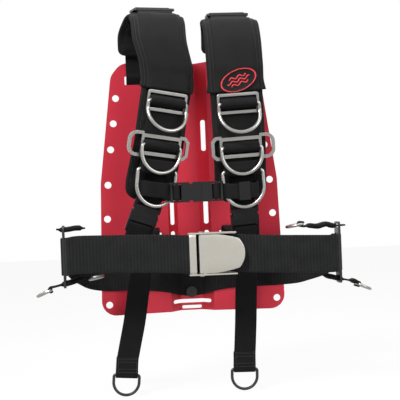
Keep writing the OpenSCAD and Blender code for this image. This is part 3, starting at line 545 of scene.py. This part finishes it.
# %% Sweeping a profile along a ribbon
def sweep(name, ribbon, profiles, material):
    """profiles has one row of (across, outwards) points for each section of the ribbon."""
    count, size = profiles.shape[:2]
    skin = (ribbon["mid"][:, None] + profiles[..., :1] * ribbon["side"][:, None]
            + profiles[..., 1:] * ribbon["front"][:, None])
    around = run_length(np.concatenate([profiles[count // 2], profiles[count // 2, :1]]))
    i, j = (g.ravel() for g in np.meshgrid(np.arange(count - 1), np.arange(size), indexing="ij"))
    k = (j + 1) % size
    quads = np.stack([i * size + j, i * size + k, (i + 1) * size + k, (i + 1) * size + j], axis=1)
    uv = np.stack([np.stack([around[j], around[j + 1], around[j + 1], around[j]], axis=1),
                   np.stack([ribbon["along"][i], ribbon["along"][i],
                             ribbon["along"][i + 1], ribbon["along"][i + 1]], axis=1)], axis=2)
    travel = np.gradient(ribbon["mid"], axis=0)
    inward = (travel * np.cross(ribbon["front"], ribbon["side"])).sum() < 0
    if inward:
        quads, uv = quads[:, ::-1], uv[:, ::-1]
    start, end = list(range(size)), list(range((count - 1) * size, count * size))
    faces = quads.tolist() + [start if inward else start[::-1], end[::-1] if inward else end]
    uv = np.concatenate([uv.reshape(-1, 2), profiles[0], profiles[-1]])
    mesh = bpy.data.meshes.new(name)
    mesh.from_pydata(skin.reshape(-1, 3).tolist(), [], faces)
    layer = mesh.uv_layers.new(name="weave")
    layer.data.foreach_set("uv", uv.astype(np.float32).ravel())
    mesh.shade_smooth()
    obj = bpy.data.objects.new(name, mesh)
    bpy.context.scene.collection.objects.link(obj)
    paint(obj, material)
    return obj

print("sweeping with", sweep.__name__)

# %% [markdown]
# Webbing is woven flat with rounded edges, so its outline has two flat faces and two
# half circles. A ribbon can be read from either side, so its front is first turned to
# face the diver. Where a tab is folded back and sewn, its layers make it thicker.

# %% Strap outline and folds
def strap_outline(wide, thick, across=10, corner=5):
    """Front face from left to right, the right edge, the back face, the left edge."""
    half, low = wide / 2 - thick / 2, thick / 2
    flat = np.linspace(-half, half, across)
    front = np.stack([flat, np.full(across, low)], axis=1)
    bend = np.radians(np.linspace(90, -90, corner + 2)[1:-1])
    edge = np.stack([half + low * np.cos(bend), low * np.sin(bend)], axis=1)
    return np.concatenate([front, edge, -front, -edge])

def towards_diver(ribbon, at=None):
    """Turns the ribbon's front to face the diver at the given height, or where it faces most."""
    if at is None:
        i = int(np.argmax(np.abs(ribbon["front"][:, 1])))
    else:
        behind = ribbon["mid"][:, 1] > -90 * mm
        i = int(np.argmin(np.abs(ribbon["mid"][:, 2] - at) + behind * 9))
    if ribbon["front"][i, 1] > 0:
        ribbon["front"] = -ribbon["front"]
    return ribbon

# where a hip tab is folded back on itself and sewn, in millimetres along it
folded = {"L_hip_upper_tab": [(3, 35)], "L_hip_lower_tab": [(20, 52)],
          "R_hip_upper_tab": [(12, 52)], "R_hip_lower_tab": [(2, 27), (38, 47)]}

def fatten(ribbon, stretches, extra=4.6 * mm, slope=3 * mm):
    """Adds the layers of a sewn fold, rising over a few millimetres at each end."""
    for start, end in stretches:
        rise = np.clip((ribbon["along"] - start * mm) / slope, 0, 1)
        fall = np.clip((end * mm - ribbon["along"]) / slope, 0, 1)
        ribbon["thick"] = ribbon["thick"] + extra * rise * fall
    return ribbon

print("folded tabs", sorted(folded))

# %% [markdown]
# Each webbing and tab of the CAD now gets its woven strap, on the very same path. The
# ribbons are kept, because stitches are laid along them later.

# %% Straps
ribbons = {}

def make_strap(node, material):
    ribbon = ribbons[node] = fatten(towards_diver(ribbon_of(node)), folded.get(node, []))
    profiles = np.array([strap_outline(w, t) for w, t in zip(ribbon["wide"], ribbon["thick"])])
    strap = sweep(node + "_woven", ribbon, profiles, material)
    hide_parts(node)
    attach(strap, "harness")
    return strap

for node in sorted(nodes):
    if node.endswith("webbing") or node.endswith("tab"):
        if node == "waist_webbing":
            strap = make_strap(node, belt_black)
        else:
            strap = make_strap(node, web_black)
        print(strap.name, round(ribbons[node]["along"][-1] / mm), "mm long")

# %% [markdown]
# The chest webbing's free ends run on behind the buckle. They are two short flat
# straps that fill the gap behind its bars, placed from the buckle's own box.

# %% Chest strap ends
low_corner, high_corner = (np.array(q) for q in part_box("chest_buckle_female"))
other_low, other_high = (np.array(q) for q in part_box("chest_buckle_male"))
buckle_x = (min(low_corner[0], other_low[0]) + max(high_corner[0], other_high[0])) / 2
behind_y = max(high_corner[1], other_high[1]) + 1.5 * mm
buckle_z = (low_corner[2] + high_corner[2]) / 2
steps = 12
for side_name, m in (("L", -1), ("R", 1)):
    x = np.linspace(14, 36, steps) * mm * m + buckle_x
    bow = 0.4 * mm * np.cos((x - buckle_x) * 160)
    mid = np.stack([x, behind_y + bow, np.full(steps, buckle_z)], axis=1)
    tail = {"mid": mid, "side": np.tile([0.0, 0.0, 1.0], (steps, 1)),
            "front": np.tile([0.0, -1.0, 0.0], (steps, 1)), "along": np.abs(x - x[0])}
    profiles = np.repeat(strap_outline(20 * mm, 1.9 * mm)[None], steps, 0)
    strap_end = sweep(side_name + "_chest_strap_end", tail, profiles, web_black)
    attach(strap_end, "harness")
    print(strap_end.name, [round(v / mm, 1) for v in mid[0]])

# %% [markdown]
# A shoulder pad is a thin slab of foam in a cloth cover that is sewn shut round its
# rim, so it swells in the middle and is thin at the edge. The cloth simulation blows
# the cover up a little with its rim pinned, and the result is applied to the mesh.

# %% Padded section and air
def lens_outline(wide, thick, points=26):
    """A padded section: full in the middle and thin at the rim."""
    turn = np.linspace(np.pi, 0, points)
    across = wide / 2 * np.cos(turn)
    share = np.clip(1 - np.abs(2 * across / wide) ** 3.2, 0, 1)
    high = np.maximum(thick / 2 * share ** 0.55, 0.0007)
    front = np.stack([across, high], axis=1)
    return np.concatenate([front, -front])

def local(ribbon, points, size):
    """Each swept point's distance across and outwards from its own section."""
    shift = points.reshape(-1, size, 3) - ribbon["mid"][:, None]
    return (shift * ribbon["side"][:, None]).sum(2), (shift * ribbon["front"][:, None]).sum(2)

def inflate(obj, pinned):
    """Runs Blender's cloth on a closed skin with air in it and applies the result."""
    group = obj.vertex_groups.new(name="rim")
    group.add(pinned, 1.0, "REPLACE")
    cloth_run = obj.modifiers.new("cloth", "CLOTH")
    cloth_set = cloth_run.settings
    cloth_set.vertex_group_mass = "rim"
    cloth_set.use_pressure = True
    cloth_set.uniform_pressure_force = 3.0
    cloth_set.shrink_min = -0.03
    cloth_set.effector_weights.gravity = 0
    cloth_set.quality = 4
    cloth_run.collision_settings.use_collision = False
    scene = bpy.context.scene
    for number in range(1, 17):
        scene.frame_set(number)
    shaped = obj.evaluated_get(bpy.context.evaluated_depsgraph_get())
    points = np.array([v.co[:] for v in shaped.data.vertices])
    obj.modifiers.remove(cloth_run)
    obj.vertex_groups.remove(group)
    scene.frame_set(1)
    return points

print("pads blown up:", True)

# %% [markdown]
# How far a point may move is held: the front swells by 1.3 mm at most, and stays flat
# under the webbing, which presses on its front. One subdivision smooths the cover.

# %% Shoulder pads
swell = 1.3 * mm
slack = 1.2 * mm
strap_reach = 26 * mm

def make_pad(side_name):
    node = side_name + "_shoulder_pad"
    ribbon = ribbons[node] = towards_diver(ribbon_of(node, 3.5), 0.05)
    lens = np.array([lens_outline(w - 2 * mm, t * 0.86) for w, t in zip(ribbon["wide"], ribbon["thick"])])
    pad = sweep(node + "_cover", ribbon, lens, pad_black)
    size = lens.shape[1]
    rest = np.array([v.co[:] for v in pad.data.vertices])
    across, out = local(ribbon, rest, size)
    half = (ribbon["wide"] / 2)[:, None]
    points = rest
    rim = np.abs(across) > half * 0.9
    rim[:2] = rim[-2:] = True
    points = inflate(pad, np.nonzero(rim.ravel())[0].tolist())
    moved_across, moved_out = local(ribbon, points, size)
    top = ribbon["thick"][:, None] / 2
    under_strap = np.clip((strap_reach - np.abs(across)) / (3 * mm), 0, 1)
    limit = top + (1 - under_strap) * swell
    moved_out = np.clip(moved_out, -(top + slack), limit)
    slip = np.clip(moved_across - across, -slack, slack)
    shaped = (ribbon["mid"][:, None] + (across + slip)[..., None] * ribbon["side"][:, None]
              + moved_out[..., None] * ribbon["front"][:, None])
    pad.data.vertices.foreach_set("co", shaped.astype(np.float32).ravel())
    soft = pad.modifiers.new("soft", "SUBSURF")
    soft.levels = soft.render_levels = 1
    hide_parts(node)
    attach(pad, "harness")
    return pad

for side_name in ("L", "R"):
    pad = make_pad(side_name)
    print(pad.name, len(pad.data.vertices), "points")

# %% [markdown]
# A tape is folded over the raw rim of the pad and sewn down. It is a flat oval section
# carried all the way round the rim: up one side, across the end, down the other side
# and back. Its outward direction follows from the path and the pad's front.

# %% Binding tape
def rim_of(ribbon):
    """The closed path round a pad's rim, with the pad's front at each point."""
    mid, side, front = ribbon["mid"], ribbon["side"], ribbon["front"]
    half = ribbon["wide"][:, None] / 2
    left, right = mid - side * half, mid + side * half
    share = np.linspace(0, 1, 9)[1:-1, None]
    over = left[-1] * (1 - share) + right[-1] * share
    under = right[0] * (1 - share) + left[0] * share
    path = np.concatenate([left, over, right[::-1], under])
    fronts = np.concatenate([front, np.repeat(front[-1:], 7, 0), front[::-1], np.repeat(front[:1], 7, 0)])
    for _ in range(2):
        path = (np.roll(path, 1, 0) + 2 * path + np.roll(path, -1, 0)) / 4
    travel = unit(np.roll(path, -1, 0) - np.roll(path, 1, 0))
    outward = unit(np.cross(travel, fronts))
    if (outward * (path - path.mean(0))).sum() < 0:
        outward = -outward
    return path, outward, fronts

def loop_ribbon(path, outward, fronts):
    ring = np.concatenate([path, path[:1]])
    return {"mid": ring, "side": np.concatenate([outward, outward[:1]]),
            "front": np.concatenate([fronts, fronts[:1]]), "along": run_length(ring)}

rims = {}

def make_binding(side_name):
    path, outward, fronts = rims[side_name] = rim_of(ribbons[side_name + "_shoulder_pad"])
    turn = np.linspace(0, 2 * np.pi, 14, endpoint=False)
    oval = np.stack([3.5 * mm * np.cos(turn), 2.1 * mm * np.sin(turn)], axis=1)
    ring = loop_ribbon(path - outward * 3.2 * mm, outward, fronts)
    tape = sweep(side_name + "_pad_binding", ring, np.repeat(oval[None], len(ring["mid"]), 0), tape_black)
    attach(tape, "harness")
    return tape

for side_name in ("L", "R"):
    print(make_binding(side_name).name, len(rims[side_name][0]), "sections")

# %% [markdown]
# A sleeve of thin padded cloth wraps the webbing and the pad together over the
# shoulder. It stands up where the webbing lies under it and folds over the pad's rim,
# so its section is one thin wall with a raised middle, swept along the webbing.

# %% Pad sleeves
def wall(outer, thick):
    """Closes an open outline into a thin wall."""
    travel = unit(np.gradient(outer, axis=0))
    inner = outer - thick * np.stack([-travel[:, 1], travel[:, 0]], axis=1)
    return np.concatenate([outer, inner[::-1]])

half_sleeve = np.array([(37.4, -8.6), (37.9, -6.6), (37.0, -4.6), (34.8, -3.3), (31.5, -2.8),
                        (28.6, -2.3), (27.2, -0.8), (26.3, 0.5), (24.6, 1.0), (18, 1.05),
                        (12, 1.05), (6, 1.05)]) * mm
sleeve_outline = np.concatenate([half_sleeve * (-1, 1), [(0, 1.05 * mm)], half_sleeve[::-1]])

def make_sleeve(side_name):
    node = side_name + "_pad_sleeve"
    ribbon = ribbons[node] = towards_diver(ribbon_of(node, 3.0), 0.15)
    rows = []
    for along, wide in zip(ribbon["along"], ribbon["wide"]):
        outline = sleeve_outline * (wide / (62 * mm) if side_name == "R" else 1, 1)
        soft = np.sin(along / mm / 9.0 + outline[:, 0] / mm / 7.0) * np.sin(along / mm / 23.0)
        outline[:, 1] += 0.35 * mm * soft
        rows.append(wall(outline, 0.9 * mm))
    sleeve = sweep(node + "_cover", ribbon, np.array(rows), sleeve_black)
    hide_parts(node)
    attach(sleeve, "harness")
    return sleeve

for side_name in ("L", "R"):
    sleeve = make_sleeve(side_name)
    print(sleeve.name, round(ribbons[side_name + "_pad_sleeve"]["along"][-1] / mm), "mm long")

# %% [markdown]
# The right sleeve carries a stitched oval patch. This one is a plain generic badge:
# a black ground and a raised red border, made as rings of points round an oval. Each
# ring has its share of the oval's size and its height above the patch.

# %% Badge
def plane_of(name):
    """A flat node's centre and its long, short and thin directions."""
    points = np.array([v.co[:] for v in nodes[name].data.vertices])
    middle = (points.min(0) + points.max(0)) / 2
    axes = np.linalg.svd(points - points.mean(0), full_matrices=False)[2]
    long, short, thin = axes
    long = long * np.sign(long[0])
    thin = thin * -np.sign(thin[1])
    return middle, long, np.cross(thin, long), thin

centre, long, short, thin = plane_of("badge_patch")
rings = [(0.97, -0.7), (1.0, -0.3), (1.0, 0.5), (0.985, 0.85), (0.96, 0.95), (0.935, 0.85),
         (0.92, 0.45), (0.6, 0.5), (0.3, 0.5)]
border_rings = 6
half_long, half_short = 25 * mm, 14 * mm
spokes = 56
angles = np.linspace(0, 2 * np.pi, spokes, endpoint=False)
points = np.concatenate([centre + np.outer(np.cos(angles) * r * half_long, long)
                         + np.outer(np.sin(angles) * r * half_short, short) + thin * h * mm
                         for r, h in rings])
points = np.concatenate([points, [centre + thin * 0.5 * mm, centre - thin * 0.7 * mm]])
top, base = len(points) - 2, len(points) - 1
faces, tints = [], []
for i in range(len(rings) - 1):
    for j in range(spokes):
        k = (j + 1) % spokes
        faces.append((i * spokes + j, i * spokes + k, (i + 1) * spokes + k, (i + 1) * spokes + j))
        tints.append(1 if i < border_rings else 0)
for j in range(spokes):
    k, last = (j + 1) % spokes, (len(rings) - 1) * spokes
    faces += [(last + j, last + k, top), (k, j, base)]
    tints += [0, 0]
mesh = bpy.data.meshes.new("generic_badge")
mesh.from_pydata(points.tolist(), [], faces)
mesh.materials.append(tape_black)
mesh.materials.append(badge_red)
mesh.polygons.foreach_set("material_index", tints)
mesh.uv_layers.new(name="weave")
flat_uv = np.stack([(points - centre) @ long, (points - centre) @ short], axis=1)
corner = np.array([loop.vertex_index for loop in mesh.loops])
mesh.uv_layers["weave"].data.foreach_set("uv", flat_uv[corner].astype(np.float32).ravel())
mesh.shade_smooth()
badge = bpy.data.objects.new("generic_badge", mesh)
bpy.context.scene.collection.objects.link(badge)
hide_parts("badge_patch")
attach(badge, "harness")
print("badge", len(faces), "faces")

# %% [markdown]
# Three raised red wave lines fill the badge. Each is a flat oval thread swept along a
# sine, and the middle one is longer because the oval is wider there.

# %% Badge waves
steps = 41
for number, (lift, reach) in enumerate([(-4.6, 12), (0, 16), (4.6, 12)]):
    t = np.linspace(-1, 1, steps)
    wave = lift * mm + 1.5 * mm * np.sin(t * reach / 16 * 9.0)
    mid = centre + np.outer(t * reach * mm, long) + np.outer(wave, short) + thin * 0.6 * mm
    travel = unit(np.gradient(mid, axis=0))
    strip = {"mid": mid, "side": np.cross(travel, thin), "front": np.repeat(thin[None], steps, 0),
             "along": t * reach * mm}
    arc = np.linspace(0, 2 * np.pi, 8, endpoint=False)
    oval = np.stack([0.8 * mm * np.cos(arc), 0.35 * mm * np.sin(arc)], axis=1)
    line = sweep("badge_wave_%d" % number, strip, np.repeat(oval[None], steps, 0), badge_red)
    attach(line, "harness")
    print(line.name, 2 * reach, "mm long")

# %% [markdown]
# The waist buckle's lever is pressed from sheet steel, with a smooth round tip and a
# slightly crowned face. A thin face plate is laid over the plain lever and moves with
# it. Its outline is half of a smooth curve, mirrored, and rings of that outline shrink
# towards the middle as they rise, which gives the crown.

# %% Lever face
lever_low, lever_high = (np.array(q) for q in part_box("waist_buckle_lever"))
frame_low, frame_high = (np.array(q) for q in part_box("waist_buckle_frame"))
lever_z = (lever_low[2] + lever_high[2]) / 2
edge_points = np.array([(4.3, 0), (4.3, 12), (4.3, 22), (5.4, 25.2), (12, 25.4), (22, 25.4), (30, 24.4),
                        (38, 22.9), (45, 21.5), (50, 20.0), (54, 17.6), (57, 14.0), (59.3, 9.4),
                        (60.6, 4.7), (60.9, 0)]) * mm
reach = run_length(edge_points)
upper = eased(edge_points, reach, np.linspace(0, reach[-1], 44))
outline = np.concatenate([upper, (upper * (1, -1))[::-1][1:-1]])
hub = np.array([27 * mm, 0.0])
face_rings = [(1.0, -0.1), (1.004, 0.1), (0.996, 0.25), (0.975, 0.35), (0.8, 0.45), (0.5, 0.6), (0.2, 0.65)]
points = []
for scale, lift in face_rings:
    flat = hub + (outline - hub) * scale
    points += [(lever_low[0] + x, lever_low[1] - lift * mm, lever_z + z) for x, z in flat]
count = len(outline)
points += [(lever_low[0] + hub[0], lever_low[1] - lift * mm, lever_z) for lift in (0.66, -0.1)]
faces = [(i * count + j, i * count + (j + 1) % count, (i + 1) * count + (j + 1) % count, (i + 1) * count + j)
         for i in range(len(face_rings) - 1) for j in range(count)]
last = (len(face_rings) - 1) * count
faces += [(last + j, last + (j + 1) % count, len(points) - 2) for j in range(count)]
faces += [((j + 1) % count, j, len(points) - 1) for j in range(count)]
mesh = bpy.data.meshes.new("lever_face")
mesh.from_pydata(points, [], faces)
shape = bmesh.new()
shape.from_mesh(mesh)
bmesh.ops.recalc_face_normals(shape, faces=shape.faces)
shape.to_mesh(mesh)
shape.free()
mesh.shade_smooth()
lever_face = bpy.data.objects.new("lever_face", mesh)
bpy.context.scene.collection.objects.link(lever_face)
paint(lever_face, steel_plate)
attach(lever_face, "waist_lever")
print("lever face", len(faces), "faces")

# %% [markdown]
# A narrow cross plate closes the frame to the left of the hinge, with a rounded left
# lip. It stops short of the lever, which needs that room when it swings open.

# %% Buckle cross plate
steps = 14
left, right = frame_low[0] + 0.5 * mm, lever_low[0] - 2.8 * mm
front = frame_low[1] + 0.2 * mm
lip = np.array([(left, front + 1.3 * mm), (left + 0.3 * mm, front + 0.6 * mm),
                (left + 1.1 * mm, front + 0.1 * mm), (left + 2.2 * mm, front),
                (right - 0.8 * mm, front), (right, front + 0.2 * mm)])
post = (left + right) / 2
rise = np.linspace(frame_low[2] + 1.8 * mm, frame_high[2] - 1.8 * mm, steps)
column = {"mid": np.stack([np.full(steps, post), np.full(steps, front), rise], axis=1),
          "side": np.tile([1.0, 0.0, 0.0], (steps, 1)), "front": np.tile([0.0, -1.0, 0.0], (steps, 1)),
          "along": rise - rise[0]}
section = wall(np.stack([lip[:, 0] - post, front - lip[:, 1]], axis=1), 1.1 * mm)
cross_plate = sweep("buckle_cross_plate", column, np.repeat(section[None], steps, 0), steel_plate)
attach(cross_plate, "harness")
print("cross plate", round((right - left) / mm, 1), "mm wide")

# %% [markdown]
# Every seam is a row of short threads. Geometry Nodes walk along each row, put one
# small six-sided lozenge every few millimetres and turn it along the row. All rows of
# one thickness go into one mesh, which is made real at the end.

# %% Stitch tree
tree = bpy.data.node_groups.new("stitch_rows", "GeometryNodeTree")
sockets = {}
for label, kind, value in [("Geometry", "NodeSocketGeometry", None), ("Pitch", FLOAT, 0.003),
                           ("Stitch length", FLOAT, 0.0022), ("Thread radius", FLOAT, 0.0003),
                           ("Thread finish", "NodeSocketMaterial", None)]:
    sockets[label] = tree.interface.new_socket(name=label, in_out="INPUT", socket_type=kind)
    if value is not None:
        sockets[label].default_value = value
tree.interface.new_socket(name="Geometry", in_out="OUTPUT", socket_type="NodeSocketGeometry")
given, result = add(tree, "NodeGroupInput"), add(tree, "NodeGroupOutput")
rows = add(tree, "GeometryNodeMeshToCurve", {"Mesh": given.outputs["Geometry"]})
spaced = add(tree, "GeometryNodeCurveToPoints", {"Curve": rows.outputs[0], "Length": given.outputs["Pitch"]},
             mode="LENGTH")
turned = add(tree, "FunctionNodeAlignRotationToVector", {"Vector": spaced.outputs["Tangent"]}, axis="X")
lozenge = add(tree, "GeometryNodeMeshUVSphere", {"Segments": 6, "Rings": 4, "Radius": 1.0})
half = maths(tree, "MULTIPLY", given.outputs["Stitch length"], 0.5)
radius = given.outputs["Thread radius"]
shape = add(tree, "ShaderNodeCombineXYZ", {"X": half, "Y": radius, "Z": radius})
sized = add(tree, "GeometryNodeTransform", {"Geometry": lozenge.outputs["Mesh"], "Scale": shape.outputs[0]})
laid = add(tree, "GeometryNodeInstanceOnPoints",
           {"Points": spaced.outputs["Points"], "Instance": sized.outputs[0], "Rotation": turned.outputs[0]})
real = add(tree, "GeometryNodeRealizeInstances", {"Geometry": laid.outputs[0]})
coloured = add(tree, "GeometryNodeSetMaterial",
               {"Geometry": real.outputs[0], "Material": given.outputs["Thread finish"]})
tree.links.new(coloured.outputs[0], result.inputs[0])
print("stitch tree", len(tree.nodes), "nodes")

# %% [markdown]
# A seam starts as a mesh of loose edges, one chain for each row. The modifier lays
# the stitches on it, the evaluated result becomes a plain mesh, and the loose edges
# and their modifier are removed.

# %% Laying stitches
def stitch(name, rows, pitch, length, radius):
    """Sizes in millimetres."""
    points, joins = [], []
    for row in rows:
        start = len(points)
        points += [tuple(q) for q in row]
        joins += [(start + i, start + i + 1) for i in range(len(row) - 1)]
    mesh = bpy.data.meshes.new(name + "_rows")
    mesh.from_pydata(points, joins, [])
    seam = bpy.data.objects.new(name + "_rows", mesh)
    bpy.context.scene.collection.objects.link(seam)
    modifier = seam.modifiers.new("stitches", "NODES")
    modifier.node_group = tree
    for label, value in (("Pitch", pitch * mm), ("Stitch length", length * mm),
                         ("Thread radius", radius * mm), ("Thread finish", thread_black)):
        modifier[sockets[label].identifier] = value
    shaped = seam.evaluated_get(bpy.context.evaluated_depsgraph_get())
    plain_mesh = bpy.data.meshes.new_from_object(shaped)
    bpy.data.objects.remove(seam)
    plain_mesh.shade_smooth()
    threads = bpy.data.objects.new(name, plain_mesh)
    bpy.context.scene.collection.objects.link(threads)
    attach(threads, "harness")
    print(name, len(rows), "rows", len(plain_mesh.polygons), "faces")

def line_on(ribbon, across, out, first=0, last=None):
    """A row at a fixed place across the ribbon, between two sections."""
    part = slice(first, last)
    return ribbon["mid"][part] + ribbon["side"][part] * across + ribbon["front"][part] * out

print("stitching with", stitch.__name__)

# %% [markdown]
# The binding tape is sewn through on both faces, a little inside the rim. Each sleeve
# has two rows along each side, where its wall steps down from webbing to pad.

# %% Pad and sleeve seams
pad_rows, sleeve_rows = [], []
for side_name in ("L", "R"):
    path, outward, fronts = rims[side_name]
    for face in (1, -1):
        row = path - outward * 5.2 * mm + fronts * face * 1.95 * mm
        pad_rows.append(np.concatenate([row, row[:1]]))
    sleeve = ribbons[side_name + "_pad_sleeve"]
    for across, out in ((-33.8, -3.0), (-29.2, -2.2), (29.2, -2.2), (33.8, -3.0)):
        sleeve_rows.append(line_on(sleeve, across * mm, out * mm, 1, -1))
stitch("pad_stitches", pad_rows, 3.2, 2.3, 0.3)
stitch("sleeve_stitches", sleeve_rows, 3.0, 2.2, 0.3)

# %% [markdown]
# A strap's folded end is held by a tack: a sewn box, on the tabs with a cross in it,
# and on the hanging straps with three plain bars. It lies on whichever face shows.

# %% Tacks on the straps
seam_inset = 2.6 * mm
above_cloth = 0.1 * mm

def facing_out(ribbon, i, j):
    """Which way along the ribbon's front the visible side is: to the diver, or up on a flat tab."""
    way = ribbon["front"][i:j].mean(0)
    return -np.sign(way[1]) if abs(way[1]) > abs(way[2]) else np.sign(way[2])

def tack(node, low, high, cross):
    """A sewn box, or one with a cross in it, on a strap between two distances along it."""
    ribbon = ribbons[node]
    i, j = (int(np.argmin(np.abs(ribbon["along"] - q * mm))) for q in (low, high))
    half = float(np.median(ribbon["wide"][i:j + 1])) / 2 - seam_inset
    out = facing_out(ribbon, i, j + 1) * (np.median(ribbon["thick"][i:j + 1]) / 2 + above_cloth)
    left, right = (line_on(ribbon, m * half, out, i, j + 1) for m in (-1, 1))
    rows = [left, right]
    across = np.linspace(0, 1, 7)[:, None]
    for k in (0, -1):
        rows.append(left[k] * (1 - across) + right[k] * across)
    if cross:
        share = np.linspace(0, 1, len(left))[:, None]
        rows += [left * (1 - share) + right * share, right * (1 - share) + left * share]
    return rows

tack_rows = []
for node, low, high, cross in [("L_adjuster_webbing", 38, 58, False), ("R_adjuster_webbing", 38, 58, False),
                               ("L_hip_upper_tab", 8, 30, True), ("L_hip_lower_tab", 24, 48, True),
                               ("R_hip_upper_tab", 16, 46, True), ("R_hip_lower_tab", 5, 24, True)]:
    tack_rows += tack(node, low, high, cross)
    if not cross:
        ribbon = ribbons[node]
        half = float(np.median(ribbon["wide"])) / 2 - seam_inset
        for distance in (41, 52, 55):
            i = int(np.argmin(np.abs(ribbon["along"] - distance * mm)))
            out = facing_out(ribbon, i, i + 1) * (ribbon["thick"][i] / 2 + above_cloth)
            ends = [ribbon["mid"][i] + ribbon["side"][i] * m * half + ribbon["front"][i] * out
                    for m in (-1, 1)]
            tack_rows.append(np.linspace(*ends, 7))
stitch("tack_stitches", tack_rows, 1.9, 1.6, 0.34)

# %% [markdown]
# The scene ends with the stitches. The CAD's box was read at the start and only
# sets the floor's height.

# %% End of the scene
print("scene built")
